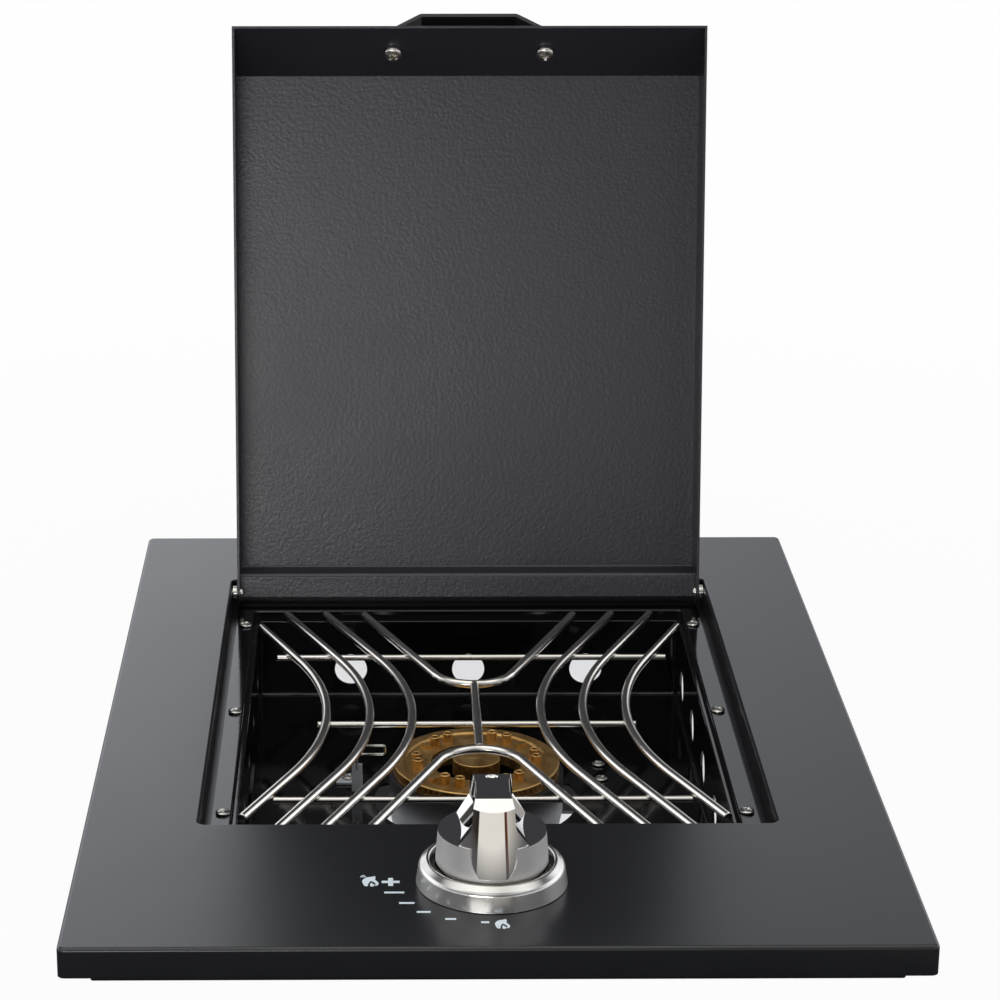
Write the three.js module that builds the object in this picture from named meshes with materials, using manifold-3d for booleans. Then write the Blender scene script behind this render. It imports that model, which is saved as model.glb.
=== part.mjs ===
// Built in side burner: a sheet-metal cooktop plate with a recessed burner tray, a rod
// pan support, one round gas burner, a hinged lid that stands open, and a push-and-turn
// control knob with its valve below. Millimetres, +Z up, +Y to the back. The origin is
// the middle of the underside of the plate's front return lip, which rests on a worktop.
import * as THREE from 'three';
import { mergeVertices } from 'three/addons/utils/BufferGeometryUtils.js';
import Module from 'manifold-3d';

const wasm = await Module();
wasm.setup();

// Fits shared by all pieces
const seatGap = 0.3; // left between pieces that rest on, or pass through, each other
const runGap = 0.35; // left where one piece swings past another
const overrun = 6; // how far a cutter runs past what it cuts

// Cooktop plate, folded from one sheet
const plate = {
  width: 340,
  depth: 480,
  skirt: 12.6, // visible drop of the skirt at its corners
  fold: 1.6, // how much lower the folded return lip hangs
  sheet: 1.2,
  lip: 14, // reach of the return lip
  mitre: 13, // from a corner to where the lip's 45 degree end starts
  bend: 1.6, // outer radius of every fold
  corner: 3,
};
plate.height = plate.skirt + plate.fold;

// Opening in the plate, with a turned-down flange and an inward lip under the tray
const opening = {
  side: 48.5, // from a side skirt to the opening
  front: 113.8, // from the front skirt
  rear: 67.6, // from the rear skirt
  corner: 2.5,
  lipClearance: 0.5,
};
opening.width = plate.width - 2 * opening.side;
opening.depth = plate.depth - opening.front - opening.rear;
opening.back = opening.front + opening.depth;
opening.midY = opening.front + opening.depth / 2;
opening.halfX = opening.width / 2;
opening.halfY = opening.depth / 2;

// Burner tray: a ledge that hangs on the opening's lip, a small step, and a deep well
const tray = {
  sheet: 1,
  ledgeDrop: 11.7,
  ledgeSide: 11.7,
  ledgeEnd: 14,
  edgeGap: 3.3, // from the opening's walls to the ledge's outer edge
  stepDrop: 3.9,
  shelfSide: 2.5,
  shelfEnd: 5.1,
  floorDrop: 56,
  corner: 2,
  floorBend: 1.5,
  ventRadius: 8.25,
  rearVentInset: 46.8, // from the side walls to the outer rear vents
  rearVentDrop: 42,
  sideVentInset: 29.2, // from the end walls to the outer side vents
  sideVentDrop: 41,
  burnerHole: 48.2,
};
tray.holeOver = tray.sheet / 4; // the plate's screw holes end this far above its lip
tray.ledgeX = opening.halfX - tray.ledgeSide;
tray.ledgeY = opening.halfY - tray.ledgeEnd;
tray.wallX = tray.ledgeX - tray.shelfSide;
tray.wallY = tray.ledgeY - tray.shelfEnd;
tray.shelfDrop = tray.ledgeDrop + tray.stepDrop;
tray.rearVentPitch = tray.wallX - tray.rearVentInset;
tray.sideVentPitch = (tray.wallY - tray.sideVentInset) / 2;

// Pan-head machine screws
const screw = {
  shaftRadius: 1.75,
  headRadius: 3.3,
  headHeight: 1.9,
  length: 8,
  inset: 7.9, // from the opening's side wall to the screw line
  endInset: 35.3, // from the opening's end walls to the outer screws
};
screw.pitch = opening.halfY - screw.endInset;

// Lid, in its closed position seen from the hinge axis
const lid = {
  sideGap: 2.7, // from the opening's side wall, taken up by the hinge washer
  sheet: 1.2,
  frontGap: 3.3, // from the front rim to the opening's front wall
  bevel: 25, // run and drop of the 45 degree front face
  top: 21, // outer face above the hinge axis
  rim: 5, // rim below the hinge axis
  lipTop: 5.1, // outer face of the rear lip above the hinge axis
  earRadius: 5,
  pinSetback: 6.3, // hinge axis to the opening's rear wall
  pinDrop: 4.5,
  leanDegrees: 9, // leans this far back past upright when open
  bend: 2,
};
lid.width = opening.width - 2 * lid.sideGap;
lid.lean = THREE.MathUtils.degToRad(lid.leanDegrees);
lid.pinY = opening.back - lid.pinSetback;
lid.reach = lid.pinY - opening.front - lid.frontGap; // hinge axis to the front rim
lid.step = (lid.pinDrop + seatGap + lid.top * Math.sin(lid.lean)) / Math.cos(lid.lean);
lid.lipBack = Math.sqrt((lid.pinSetback - runGap) ** 2 - lid.lipTop ** 2);

// Hinge pins and the washers that fill the gap beside the lid
const hinge = {
  shaftRadius: 1.75,
  headRadius: 2.6,
  headHeight: 1.7,
  tailHeight: 1.2,
  washerRadius: 3.5,
};

// Bent-strip lid handle on the front face, with its two screws
const handle = {
  width: 20,
  thickness: 2.2,
  standOff: 16.2,
  barHalf: 24,
  footHalf: 43.5,
  tabEnd: 33,
  bend: 4,
  screwX: 38.4,
  screwShaft: 2.5,
  screwHead: 4.75,
  screwHeadHeight: 3,
};

// Pan support welded from round rod
const support = {
  rodRadius: 2.1,
  crossRadius: 1.5,
  weld: 0.6,
  sideReach: 41.3, // from the tray's side step to the outer rod at its narrowest
  rodPitch: 19.7, // from one side rod to the next
  tipGaps: [1.7, 1.7, 19.8], // from the tray's end step to each side rod's tip
  arcRadius: 130,
  legDegrees: 22.5,
  crest: 39,
  crestRadius: 22,
  loopGap: 2.7, // from the tray's end step to a loop's tips
  crossInset: 50.1, // from the tray's end step to the front and rear cross rods
  crossShift: 3, // how far in front of the rods' middle the cross rods are centred
  crossReaches: [24.3, 6.2, 27.6], // cross rods past the outer rod's narrowest place
};
support.outer = tray.ledgeX - support.sideReach;
support.bulges = [2, 1, 0].map((k) => support.outer - k * support.rodPitch);
support.tips = support.tipGaps.map((gap) => tray.ledgeY - gap);
support.loopTip = tray.ledgeY - support.loopGap;
support.z = -tray.shelfDrop + seatGap + support.rodRadius;

// Burner: flame ring, centre cap, cup and mixing tube
const burner = {
  ringTop: -36.4,
  ringRadius: 39.3,
  ringInner: 21.5,
  rimWidth: 5.6,
  recess: 2,
  ringHeight: 5,
  spigotDepth: 5,
  spigotWall: 1.4,
  toothCount: 36,
  toothGap: 2,
  toothHeight: 3,
  toothDepth: 1.6,
  toothDrop: 1,
  bossRadius: 2.25,
  bossSocket: 1,
  bossHeight: 5.4,
  bossCircle: 28.3,
  bossPairs: 6,
  bossHalfDegrees: 7.8,
  bossStartDegrees: 5,
  capRadius: 11.2,
  capHeight: 8,
  capRise: 1.5,
  capPorts: 16,
  capPortSize: 1.5,
  capSpigot: 7,
  capSpigotDepth: 5,
  cupRadius: 41.2,
  cupWall: 3,
  cupTaperTop: -60, // the cup's upper part narrows from here to its shoulder
  cupShoulder: -68.4, // the shoulder stands on the strap
  cupShoulderRadius: 39.5,
  cupFootRadius: 36,
  cupBottom: -86,
  pillarRadius: 9.6,
  tubeDrop: -72,
  tubeRadius: 10,
  tubeWall: 1.2,
  mouthRadius: 13,
  mouthLength: 12,
  coneLength: 14,
  mouthY: 140,
  airSlot: 6,
};

// Strap under the tray that carries the cup by its shoulder
const strap = {
  sheet: 1.5,
  footHalf: 72,
  legHalf: 52,
  width: 34,
  bend: 3,
  screwX: 61,
  screwY: [21, 38.5], // behind the burner's centre
};

// Igniter: upright strip under a strap screw, with a wire electrode
const igniter = {
  x: -56.5,
  y: 5.2,
  width: 5,
  sheet: 1,
  height: 15,
  footHalf: 5.6,
  wireRadius: 0.6,
  wireReach: 13.3,
  wireLow: 20.6, // above the tray floor
  wireHigh: 25,
  wireStart: 12.5,
};

// Control knob, its bezel and the gas valve
const control = { x: -0.6, y: 58.65, push: 3.5 };
const bezel = {
  baseRadius: 30.6,
  height: 10,
  rimRadius: 26.8,
  innerRadius: 24.6,
  sheet: 1.2,
  shoulder: 3.4,
};
const knob = {
  bottom: 4.2,
  beadRadius: 23.2,
  beadHeight: 2.4,
  beadTaper: 1.2,
  skirtRadius: 22.7,
  skirtTop: 11,
  shoulderRadius: 19.7,
  shoulderTop: 39.2,
  crownRadius: 12.2,
  top: 41.3,
  floor: 22.8, // level of the flats beside the grip
  cove: 4,
  waistHalf: 6.5,
  endHalf: 8.75,
  wall: 2,
  draft: 1, // how much the hollow narrows towards its ceiling
  ceiling: 17,
  hubRadius: 7.4,
  hubBottom: 6,
  boreTop: 26,
};
const stem = { radius: 4, flat: 1.2, bottom: -24, hole: 6.2 };
const valve = {
  earX: 13,
  flangeHalfX: 18,
  flangeHalfY: 9,
  flangeHeight: 4,
  bonnetRadius: 9.6,
  bonnetDrop: 16,
  bodyRadius: 11.5,
  bodyDrop: 35,
  boreRadius: 6.9,
  boreDrop: 26,
  portDrop: 25.5,
  portRadius: 6.5,
  portReach: 17,
  portBore: 3,
  screwLength: 5,
};
const plunger = { radius: 6.5, top: -10, height: 4 };
const spring = { wireRadius: 0.5, turns: 5, stepsPerTurn: 8, sides: 4 };
const sparkSwitch = { halfX: 15, halfY: 13, height: 6.5, top: -6.6, corner: 2 };
const pipe = { radius: 4, bend: 12, downY: 114, endY: 129 };
const injector = { hexRadius: 6, length: 9, noseRadius: 3.4, noseLength: 8 };
const inlet = {
  pipeRadius: 5,
  hexRadius: 11,
  hexLength: 9,
  threadRadius: 9.5,
  threadLength: 13,
  reach: 42,
  boreRadius: 4,
};

// Facet counts
const roundSides = 36;
const smallSides = 10;
const holeSides = 16;
const rodSides = 7;
const tubeSides = 24;
const cornerSteps = 2;

// Vector and outline helpers
const v2 = (x, y) => new THREE.Vector2(x, y);
const v3 = (x, y, z) => new THREE.Vector3(x, y, z);

function circle(u, v, radius, sides) {
  return Array.from({ length: sides }, (_, i) => {
    const angle = ((i + 0.5) / sides) * 2 * Math.PI;
    return v2(u + radius * Math.cos(angle), v + radius * Math.sin(angle));
  });
}

function rectangle(u, v, halfU, halfV, radius = 0) {
  const steps = radius > 0 ? cornerSteps : 0;
  const points = [];
  [[1, 1], [-1, 1], [-1, -1], [1, -1]].forEach(([signU, signV], quarter) => {
    for (let k = 0; k <= steps; k += 1) {
      const angle = (quarter + (steps ? k / steps : 0.5)) * (Math.PI / 2);
      points.push(v2(
        u + signU * (halfU - radius) + radius * Math.cos(angle),
        v + signV * (halfV - radius) + radius * Math.sin(angle),
      ));
    }
  });
  return points;
}

// Rounds the inner corners of a path, in two or three dimensions
function rounded(corners, radius, steps = 3) {
  const path = [corners[0].clone()];
  for (let i = 1; i < corners.length - 1; i += 1) {
    const back = corners[i - 1].clone().sub(corners[i]).normalize();
    const ahead = corners[i + 1].clone().sub(corners[i]).normalize();
    const half = Math.acos(back.dot(ahead)) / 2;
    const middle = back.clone().add(ahead).normalize();
    const centre = corners[i].clone().addScaledVector(middle, radius / Math.sin(half));
    const tangent = radius / Math.tan(half);
    const from = corners[i].clone().addScaledVector(back, tangent).sub(centre);
    const to = corners[i].clone().addScaledVector(ahead, tangent).sub(centre);
    const sweep = Math.PI - 2 * half;
    for (let k = 0; k <= steps; k += 1) {
      const start = from.clone().multiplyScalar(Math.sin((1 - k / steps) * sweep));
      const end = to.clone().multiplyScalar(Math.sin((k / steps) * sweep));
      path.push(centre.clone().add(start.add(end).divideScalar(Math.sin(sweep))));
    }
  }
  path.push(corners[corners.length - 1].clone());
  return path;
}

// Outline of a bent strip whose middle line is the path
function stripOutline(path, thickness) {
  const side = (sign) => path.map((point, i) => {
    const last = path.length - 1;
    const arrive = i > 0 ? point.clone().sub(path[i - 1]).normalize() : null;
    const leave = i < last ? path[i + 1].clone().sub(point).normalize() : null;
    const a = arrive ?? leave;
    const b = leave ?? arrive;
    const normal = v2(-(a.y + b.y), a.x + b.x).normalize();
    const mitre = thickness / 2 / Math.sqrt((1 + a.dot(b)) / 2);
    return point.clone().addScaledVector(normal, sign * mitre);
  });
  return [...side(1), ...side(-1).reverse()];
}

// Geometry helpers
function prism(axis, outline, from, to, holes = []) {
  const shape = new THREE.Shape(outline);
  shape.holes = holes.map((points) => new THREE.Path(points));
  const options = { depth: to - from, bevelEnabled: false, steps: 1 };
  const geometry = new THREE.ExtrudeGeometry(shape, options).translate(0, 0, from);
  const turn = new THREE.Matrix4();
  if (axis === 'x') turn.set(0, 0, 1, 0, 1, 0, 0, 0, 0, 1, 0, 0, 0, 0, 0, 1);
  if (axis === 'y') turn.set(1, 0, 0, 0, 0, 0, 1, 0, 0, 1, 0, 0, 0, 0, 0, 1);
  return geometry.applyMatrix4(turn);
}

// A closed profile of [radius, height] pairs turned about +Z
function turned(profile, segments = roundSides) {
  const points = profile.map(([radius, height]) => v2(radius, height));
  points.push(points[0].clone());
  return new THREE.LatheGeometry(points, segments).rotateX(Math.PI / 2);
}

function tubeAlong(points, radius, sides, steps) {
  const path = new THREE.CurvePath();
  for (let i = 1; i < points.length; i += 1) {
    path.add(new THREE.LineCurve3(points[i - 1], points[i]));
  }
  const section = new THREE.Shape(circle(0, 0, radius, sides));
  return new THREE.ExtrudeGeometry(section, { steps, bevelEnabled: false, extrudePath: path });
}

// Skin through rings of equally many points, closed on itself or capped at both ends
function loft(rings, closed) {
  const count = rings[0].length;
  const index = [];
  const bands = closed ? rings.length : rings.length - 1;
  for (let ring = 0; ring < bands; ring += 1) {
    const here = ring * count;
    const next = ((ring + 1) % rings.length) * count;
    for (let i = 0; i < count; i += 1) {
      const j = (i + 1) % count;
      index.push(here + i, here + j, next + j, here + i, next + j, next + i);
    }
  }
  if (!closed) {
    const last = (rings.length - 1) * count;
    for (let i = 1; i < count - 1; i += 1) {
      index.push(0, i + 1, i, last, last + i, last + i + 1);
    }
  }
  const geometry = new THREE.BufferGeometry();
  const values = rings.flat().flatMap((point) => [point.x, point.y, point.z]);
  geometry.setAttribute('position', new THREE.Float32BufferAttribute(values, 3));
  geometry.setIndex(index);
  return geometry;
}

function toManifold(geometry) {
  const bare = geometry.clone();
  bare.deleteAttribute('normal');
  bare.deleteAttribute('uv');
  const merged = mergeVertices(bare);
  const vertices = merged.getAttribute('position').array;
  const corners = merged.getIndex().array;
  const triangles = [];
  let volume = 0;
  const at = (i) => v3().fromArray(vertices, 3 * i);
  for (let i = 0; i < corners.length; i += 3) {
    const [a, b, c] = [corners[i], corners[i + 1], corners[i + 2]];
    if (a !== b && b !== c && c !== a) {
      triangles.push([a, b, c]);
      volume += at(a).dot(at(b).cross(at(c)));
    }
  }
  const facing = volume > 0 ? triangles : triangles.map(([a, b, c]) => [a, c, b]);
  return new wasm.Manifold(new wasm.Mesh({
    numProp: 3,
    vertProperties: new Float32Array(vertices),
    triVerts: new Uint32Array(facing.flat()),
  }));
}

// Joins the added shapes to the first and cuts the others away
function made(base, { add = [], cut = [] } = {}) {
  let body = toManifold(base);
  add.forEach((geometry) => { body = body.add(toManifold(geometry)); });
  cut.forEach((geometry) => { body = body.subtract(toManifold(geometry)); });
  const mesh = body.getMesh();
  const geometry = new THREE.BufferGeometry();
  geometry.setAttribute('position', new THREE.BufferAttribute(mesh.vertProperties, 3));
  geometry.setIndex(new THREE.BufferAttribute(mesh.triVerts, 1));
  return geometry;
}

// Finishes
const finish = (color, metalness, roughness) => (
  new THREE.MeshStandardMaterial({ color, metalness, roughness })
);
const satinBlack = finish('#26272a', 0, 0.42);
const blackEnamel = finish('#121214', 0, 0.16);
const darkGrey = finish('#3a3a3f', 0, 0.3);
const stainless = finish('#c9c9c6', 1, 0.3);
const zincPlate = finish('#b9bab8', 1, 0.35);
const agedBrass = finish('#8a6f4a', 1, 0.45);
const castIron = finish('#3b3b3e', 0, 0.5);
const polishedChrome = finish('#d8d8d8', 1, 0.12);
const satinChrome = finish('#b7b7b5', 1, 0.34);
const springSteel = finish('#8f9092', 1, 0.4);
const blackPlastic = finish('#1c1c1e', 0, 0.55);
const copper = finish('#b06a45', 1, 0.35);

// The part: everything below is placed from the plate's front edge and top face
const part = new THREE.Group();
const built = new THREE.Group();
built.position.set(0, -plate.lip / 2, plate.height);
part.add(built);

function place(name, geometry, material, { parent = built, x = 0, y = 0, z = 0 } = {}) {
  const mesh = new THREE.Mesh(geometry, material);
  mesh.name = name;
  mesh.position.set(x, y, z);
  parent.add(mesh);
  return mesh;
}

// Cooktop plate: one folded sheet, from its outer return lip over the skirt and the top
// down the opening's flange to the inward lip, and back along the inside of the sheet
const foldShare = 1 - Math.SQRT1_2; // middle point of a quarter-round fold

function ringAround(midY, halfX, halfY, corner, z) {
  return rectangle(0, midY, halfX, halfY, corner).map((p) => v3(p.x, p.y, z));
}

function hobPlate() {
  const { sheet, bend, height, lip } = plate;
  const fold = bend * foldShare;
  const fine = plate.corner / 4;
  const outer = (inset, z) => ringAround(
    plate.depth / 2,
    plate.width / 2 - inset,
    plate.depth / 2 - inset,
    Math.max(plate.corner - inset, fine),
    z,
  );
  const inner = (outset, z) => ringAround(
    opening.midY,
    opening.halfX + outset,
    opening.halfY + outset,
    Math.max(opening.corner + outset, fine),
    z,
  );
  const lipTop = -tray.ledgeDrop - tray.sheet - seatGap;
  const lipReach = tray.ledgeSide - tray.sheet - opening.lipClearance;
  const body = loft([
    outer(lip, -height),
    outer(bend, -height),
    outer(fold, fold - height),
    outer(0, bend - height),
    outer(0, -bend),
    outer(fold, -fold),
    outer(bend, 0),
    inner(bend, 0),
    inner(fold, -fold),
    inner(0, -bend),
    inner(0, lipTop),
    inner(-lipReach, lipTop),
    inner(-lipReach, lipTop - sheet),
    inner(sheet, lipTop - sheet),
    inner(sheet, -sheet),
    outer(sheet, -sheet),
    outer(sheet, sheet - height),
    outer(lip, sheet - height),
  ], true);
  return made(body, { cut: [...lipMitres(), ...plateHoles(lipTop)] });
}

// The four corners where the return lip is cut away at 45 degrees
function lipMitres() {
  const { mitre } = plate;
  const far = plate.lip + overrun;
  const notch = [
    [-overrun, -overrun],
    [mitre - overrun, -overrun],
    [mitre + far, far],
    [far, mitre + far],
    [-overrun, mitre - overrun],
  ];
  const corners = [[-1, 0], [1, 0], [-1, 1], [1, 1]];
  return corners.map(([side, back]) => {
    const outline = notch.map(([u, v]) => v2(
      side * (plate.width / 2 - u),
      back ? plate.depth - v : v,
    ));
    return prism('z', outline, -plate.height - overrun, -plate.skirt);
  });
}

const screwLineX = opening.halfX - screw.inset;
const screwRowY = [-screw.pitch, 0, screw.pitch].map((offset) => opening.midY + offset);

function trayScrewHoles(from, to) {
  const radius = screw.shaftRadius + seatGap;
  return [-1, 1].flatMap((side) => screwRowY.map((y) => (
    prism('z', circle(side * screwLineX, y, radius, smallSides), from, to)
  )));
}

function plateHoles(lipTop) {
  const pinHole = circle(lid.pinY, -lid.pinDrop, hinge.shaftRadius + seatGap, smallSides);
  const reach = plate.width / 2 - plate.sheet - plate.bend;
  const pins = [
    prism('x', pinHole, opening.halfX - overrun, reach),
    prism('x', pinHole, -reach, overrun - opening.halfX),
  ];
  const stemHole = prism(
    'z',
    circle(control.x, control.y, stem.hole, holeSides),
    -overrun,
    overrun,
  );
  const ears = [-1, 1].map((side) => prism(
    'z',
    circle(control.x + side * valve.earX, control.y, screw.shaftRadius + seatGap, smallSides),
    -overrun,
    overrun,
  ));
  const screwHoles = trayScrewHoles(lipTop - overrun, lipTop + tray.holeOver);
  return [...pins, stemHole, ...ears, ...screwHoles];
}

// Burner tray: ledge, step and well, with round vents, screw holes and the burner hole
function burnerTray() {
  const { sheet, corner, floorBend } = tray;
  const ring = (halfX, halfY, z, radius = corner) => (
    ringAround(opening.midY, halfX, halfY, radius, z)
  );
  const edgeX = opening.halfX - tray.edgeGap;
  const edgeY = opening.halfY - tray.edgeGap;
  const floor = -tray.floorDrop;
  const shelf = -tray.shelfDrop;
  const ledge = -tray.ledgeDrop;
  const body = loft([
    ring(tray.wallX + sheet - floorBend, tray.wallY + sheet - floorBend, floor - sheet),
    ring(tray.wallX + sheet, tray.wallY + sheet, floor - sheet + floorBend),
    ring(tray.wallX + sheet, tray.wallY + sheet, shelf - sheet),
    ring(tray.ledgeX + sheet, tray.ledgeY + sheet, shelf - sheet),
    ring(tray.ledgeX + sheet, tray.ledgeY + sheet, ledge - sheet),
    ring(edgeX, edgeY, ledge - sheet),
    ring(edgeX, edgeY, ledge),
    ring(tray.ledgeX, tray.ledgeY, ledge),
    ring(tray.ledgeX, tray.ledgeY, shelf),
    ring(tray.wallX, tray.wallY, shelf),
    ring(tray.wallX, tray.wallY, floor + floorBend),
    ring(tray.wallX - floorBend, tray.wallY - floorBend, floor),
  ], false);
  const vents = [];
  for (let k = -1; k <= 1; k += 1) {
    const hole = circle(k * tray.rearVentPitch, -tray.rearVentDrop, tray.ventRadius, holeSides);
    const wall = opening.midY + tray.wallY;
    vents.push(prism('y', hole, wall - overrun, wall + overrun));
  }
  for (let k = -2; k <= 2; k += 1) {
    const y = opening.midY + k * tray.sideVentPitch;
    const hole = circle(y, -tray.sideVentDrop, tray.ventRadius, holeSides);
    vents.push(prism('x', hole, tray.wallX - overrun, tray.wallX + overrun));
    vents.push(prism('x', hole, -tray.wallX - overrun, overrun - tray.wallX));
  }
  const burnerHole = prism(
    'z',
    circle(0, opening.midY, tray.burnerHole, roundSides),
    floor - overrun,
    floor + overrun,
  );
  return made(body, {
    cut: [
      ...vents,
      burnerHole,
      ...strapScrewHoles(floor - overrun, floor + overrun),
      ...trayScrewHoles(ledge - overrun, ledge + overrun),
    ],
  });
}

function strapScrewPlaces() {
  return [-1, 1].flatMap((side) => strap.screwY.map((offset) => (
    [side * strap.screwX, opening.midY + offset]
  )));
}

function strapScrewHoles(from, to) {
  const radius = screw.shaftRadius + seatGap;
  return strapScrewPlaces().map(([x, y]) => (
    prism('z', circle(x, y, radius, smallSides), from, to)
  ));
}

// Pan-head screw, its head seat at z = 0 and its shaft downwards
const panDomeShares = [[0, 1], [0.5, 1], [0.85, 0.85], [1, 0.5]]; // of radius and height

function panScrew(shaftRadius, headRadius, headHeight, length) {
  return made(turned([
    ...panDomeShares.map(([out, up]) => [out * headRadius, up * headHeight]),
    [headRadius, 0],
    [shaftRadius, 0],
    [shaftRadius, -length],
    [0, -length],
  ], smallSides));
}

function addTrayScrews() {
  const geometry = panScrew(screw.shaftRadius, screw.headRadius, screw.headHeight, screw.length);
  const z = seatGap - tray.ledgeDrop;
  ['left', 'right'].forEach((sideName, side) => {
    ['front', 'middle', 'rear'].forEach((rowName, row) => {
      place(`tray_screw_${sideName}_${rowName}`, geometry, zincPlate, {
        x: (2 * side - 1) * screwLineX,
        y: screwRowY[row],
        z,
      });
    });
  });
}

// Lid, drawn closed about its hinge axis: y runs back from the axis, z up
function lidShell() {
  const { sheet, reach, bevel, top, rim, step, lipTop, lipBack, earRadius } = lid;
  const half = sheet / 2;
  const middle = [
    v2(half - reach, -rim),
    v2(half - reach, top - bevel),
    v2(bevel - reach, top - half),
    v2(-step - half, top - half),
    v2(-step - half, lipTop - half),
    v2(lipBack, lipTop - half),
  ];
  const path = rounded(middle, lid.bend);
  const band = stripOutline(path, sheet);
  const outerX = lid.width / 2;
  const earStart = Math.atan2(lipTop - half, lipBack);
  const ear = Array.from({ length: 6 }, (_, i) => {
    const angle = earStart - (i / 5) * (earStart + Math.PI / 2);
    return v2(earRadius * Math.cos(angle), earRadius * Math.sin(angle));
  });
  const flange = [...path.slice(0, -1), ...ear];
  const pinHole = circle(0, 0, hinge.shaftRadius + seatGap, smallSides);
  const skew = sheet * Math.SQRT2;
  const screwHoles = [-1, 1].map((side) => (
    prism('z', circle(side * handle.screwX, 0, handle.screwShaft + seatGap, smallSides),
      -skew - overrun / 2, overrun / 2)
      .rotateX(Math.PI / 4)
      .translate(0, bevel / 2 - reach, top - bevel / 2)
  ));
  return made(prism('x', band, -outerX, outerX), {
    add: [
      prism('x', flange, outerX - sheet, outerX),
      prism('x', flange, -outerX, sheet - outerX),
    ],
    cut: [
      prism('x', pinHole, -outerX - overrun, outerX + overrun),
      ...screwHoles,
    ],
  });
}

// Handle and its screws stand on the bevelled front face, so they share its frame
function addHandle(parent) {
  const { thickness, width, standOff, barHalf, footHalf, tabEnd } = handle;
  const face = new THREE.Group();
  face.position.set(0, lid.bevel / 2 - lid.reach, lid.top - lid.bevel / 2);
  face.rotation.x = Math.PI / 4;
  parent.add(face);
  const foot = seatGap + thickness / 2;
  const bar = standOff - thickness / 2;
  const corners = [
    v2(-tabEnd, foot),
    v2(-footHalf, foot),
    v2(-barHalf, bar),
    v2(barHalf, bar),
    v2(footHalf, foot),
    v2(tabEnd, foot),
  ];
  const outline = stripOutline(rounded(corners, handle.bend / 2), thickness);
  const holes = [-1, 1].map((side) => prism(
    'z',
    circle(side * handle.screwX, 0, handle.screwShaft + seatGap, smallSides),
    0,
    foot + thickness,
  ));
  place('lid_handle', made(prism('y', outline, -width / 2, width / 2), { cut: holes }),
    satinBlack, { parent: face });
  const length = lid.sheet + 2 * seatGap + thickness;
  const geometry = panScrew(
    handle.screwShaft,
    handle.screwHead,
    handle.screwHeadHeight,
    length,
  ).rotateX(Math.PI);
  ['left', 'right'].forEach((name, i) => {
    place(`handle_screw_${name}`, geometry, stainless, {
      parent: face,
      x: (2 * i - 1) * handle.screwX,
      z: -lid.sheet - seatGap,
    });
  });
}

function addLid() {
  const leaf = new THREE.Group();
  leaf.position.set(0, lid.pinY, -lid.pinDrop);
  leaf.rotation.x = -(Math.PI / 2 + lid.lean);
  built.add(leaf);
  place('lid', lidShell(), darkGrey, { parent: leaf });
  addHandle(leaf);
}

// Hinge pins: domed head inside the lid, shaft through lid and flange, riveted tail
const pinDomeShares = [[0, 1], [0.5, 0.9], [0.85, 0.5], [1, 0]]; // of radius and height
const rivetShare = 0.9; // the tail's radius, of the head's

function addHinges() {
  const head = lid.width / 2 - lid.sheet - seatGap;
  const gap = opening.halfX - lid.width / 2;
  const { shaftRadius, headRadius, headHeight, tailHeight, washerRadius } = hinge;
  const tail = head + seatGap + lid.sheet + gap + plate.sheet + seatGap;
  const profile = [
    ...pinDomeShares.map(([out, up]) => [out * headRadius, head - up * headHeight]),
    [shaftRadius, head],
    [shaftRadius, tail],
    [rivetShare * headRadius, tail],
    [headRadius / 2, tail + tailHeight],
    [0, tail + tailHeight],
  ];
  const washer = [
    [shaftRadius + seatGap, lid.width / 2 + seatGap],
    [washerRadius, lid.width / 2 + seatGap],
    [washerRadius, opening.halfX - seatGap],
    [shaftRadius + seatGap, opening.halfX - seatGap],
  ];
  ['left', 'right'].forEach((name, i) => {
    const turn = (i ? 1 : -1) * (Math.PI / 2);
    const at = { y: lid.pinY, z: -lid.pinDrop };
    place(`hinge_pin_${name}`, made(turned(profile, smallSides).rotateY(turn)), stainless, at);
    place(`hinge_washer_${name}`, made(turned(washer, smallSides).rotateY(turn)), zincPlate, at);
  });
}

// Pan support: bowed side rods, a loop of rod at the front and at the back, one middle
// rod, and three cross rods welded below them
function sideRod(bulge, tip) {
  const turn = THREE.MathUtils.degToRad(support.legDegrees);
  const points = [];
  const arcEnd = support.arcRadius * Math.sin(turn);
  const shoulder = bulge + support.arcRadius * (1 - Math.cos(turn));
  points.push(v3(shoulder + (tip - arcEnd) * Math.tan(turn), -tip, 0));
  for (let k = -4; k <= 4; k += 1) {
    const angle = (k / 4) * turn;
    const x = bulge + support.arcRadius * (1 - Math.cos(angle));
    points.push(v3(x, support.arcRadius * Math.sin(angle), 0));
  }
  points.push(v3(shoulder + (tip - arcEnd) * Math.tan(turn), tip, 0));
  return points;
}

function endLoop(sign) {
  const turn = THREE.MathUtils.degToRad(support.legDegrees);
  const centre = support.crest + support.crestRadius;
  const apex = centre - support.crestRadius / Math.sin(turn);
  const tipX = (support.loopTip - apex) * Math.tan(turn);
  const corners = [
    v3(-tipX, sign * support.loopTip, 0),
    v3(0, sign * apex, 0),
    v3(tipX, sign * support.loopTip, 0),
  ];
  return rounded(corners, support.crestRadius, 12);
}

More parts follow.
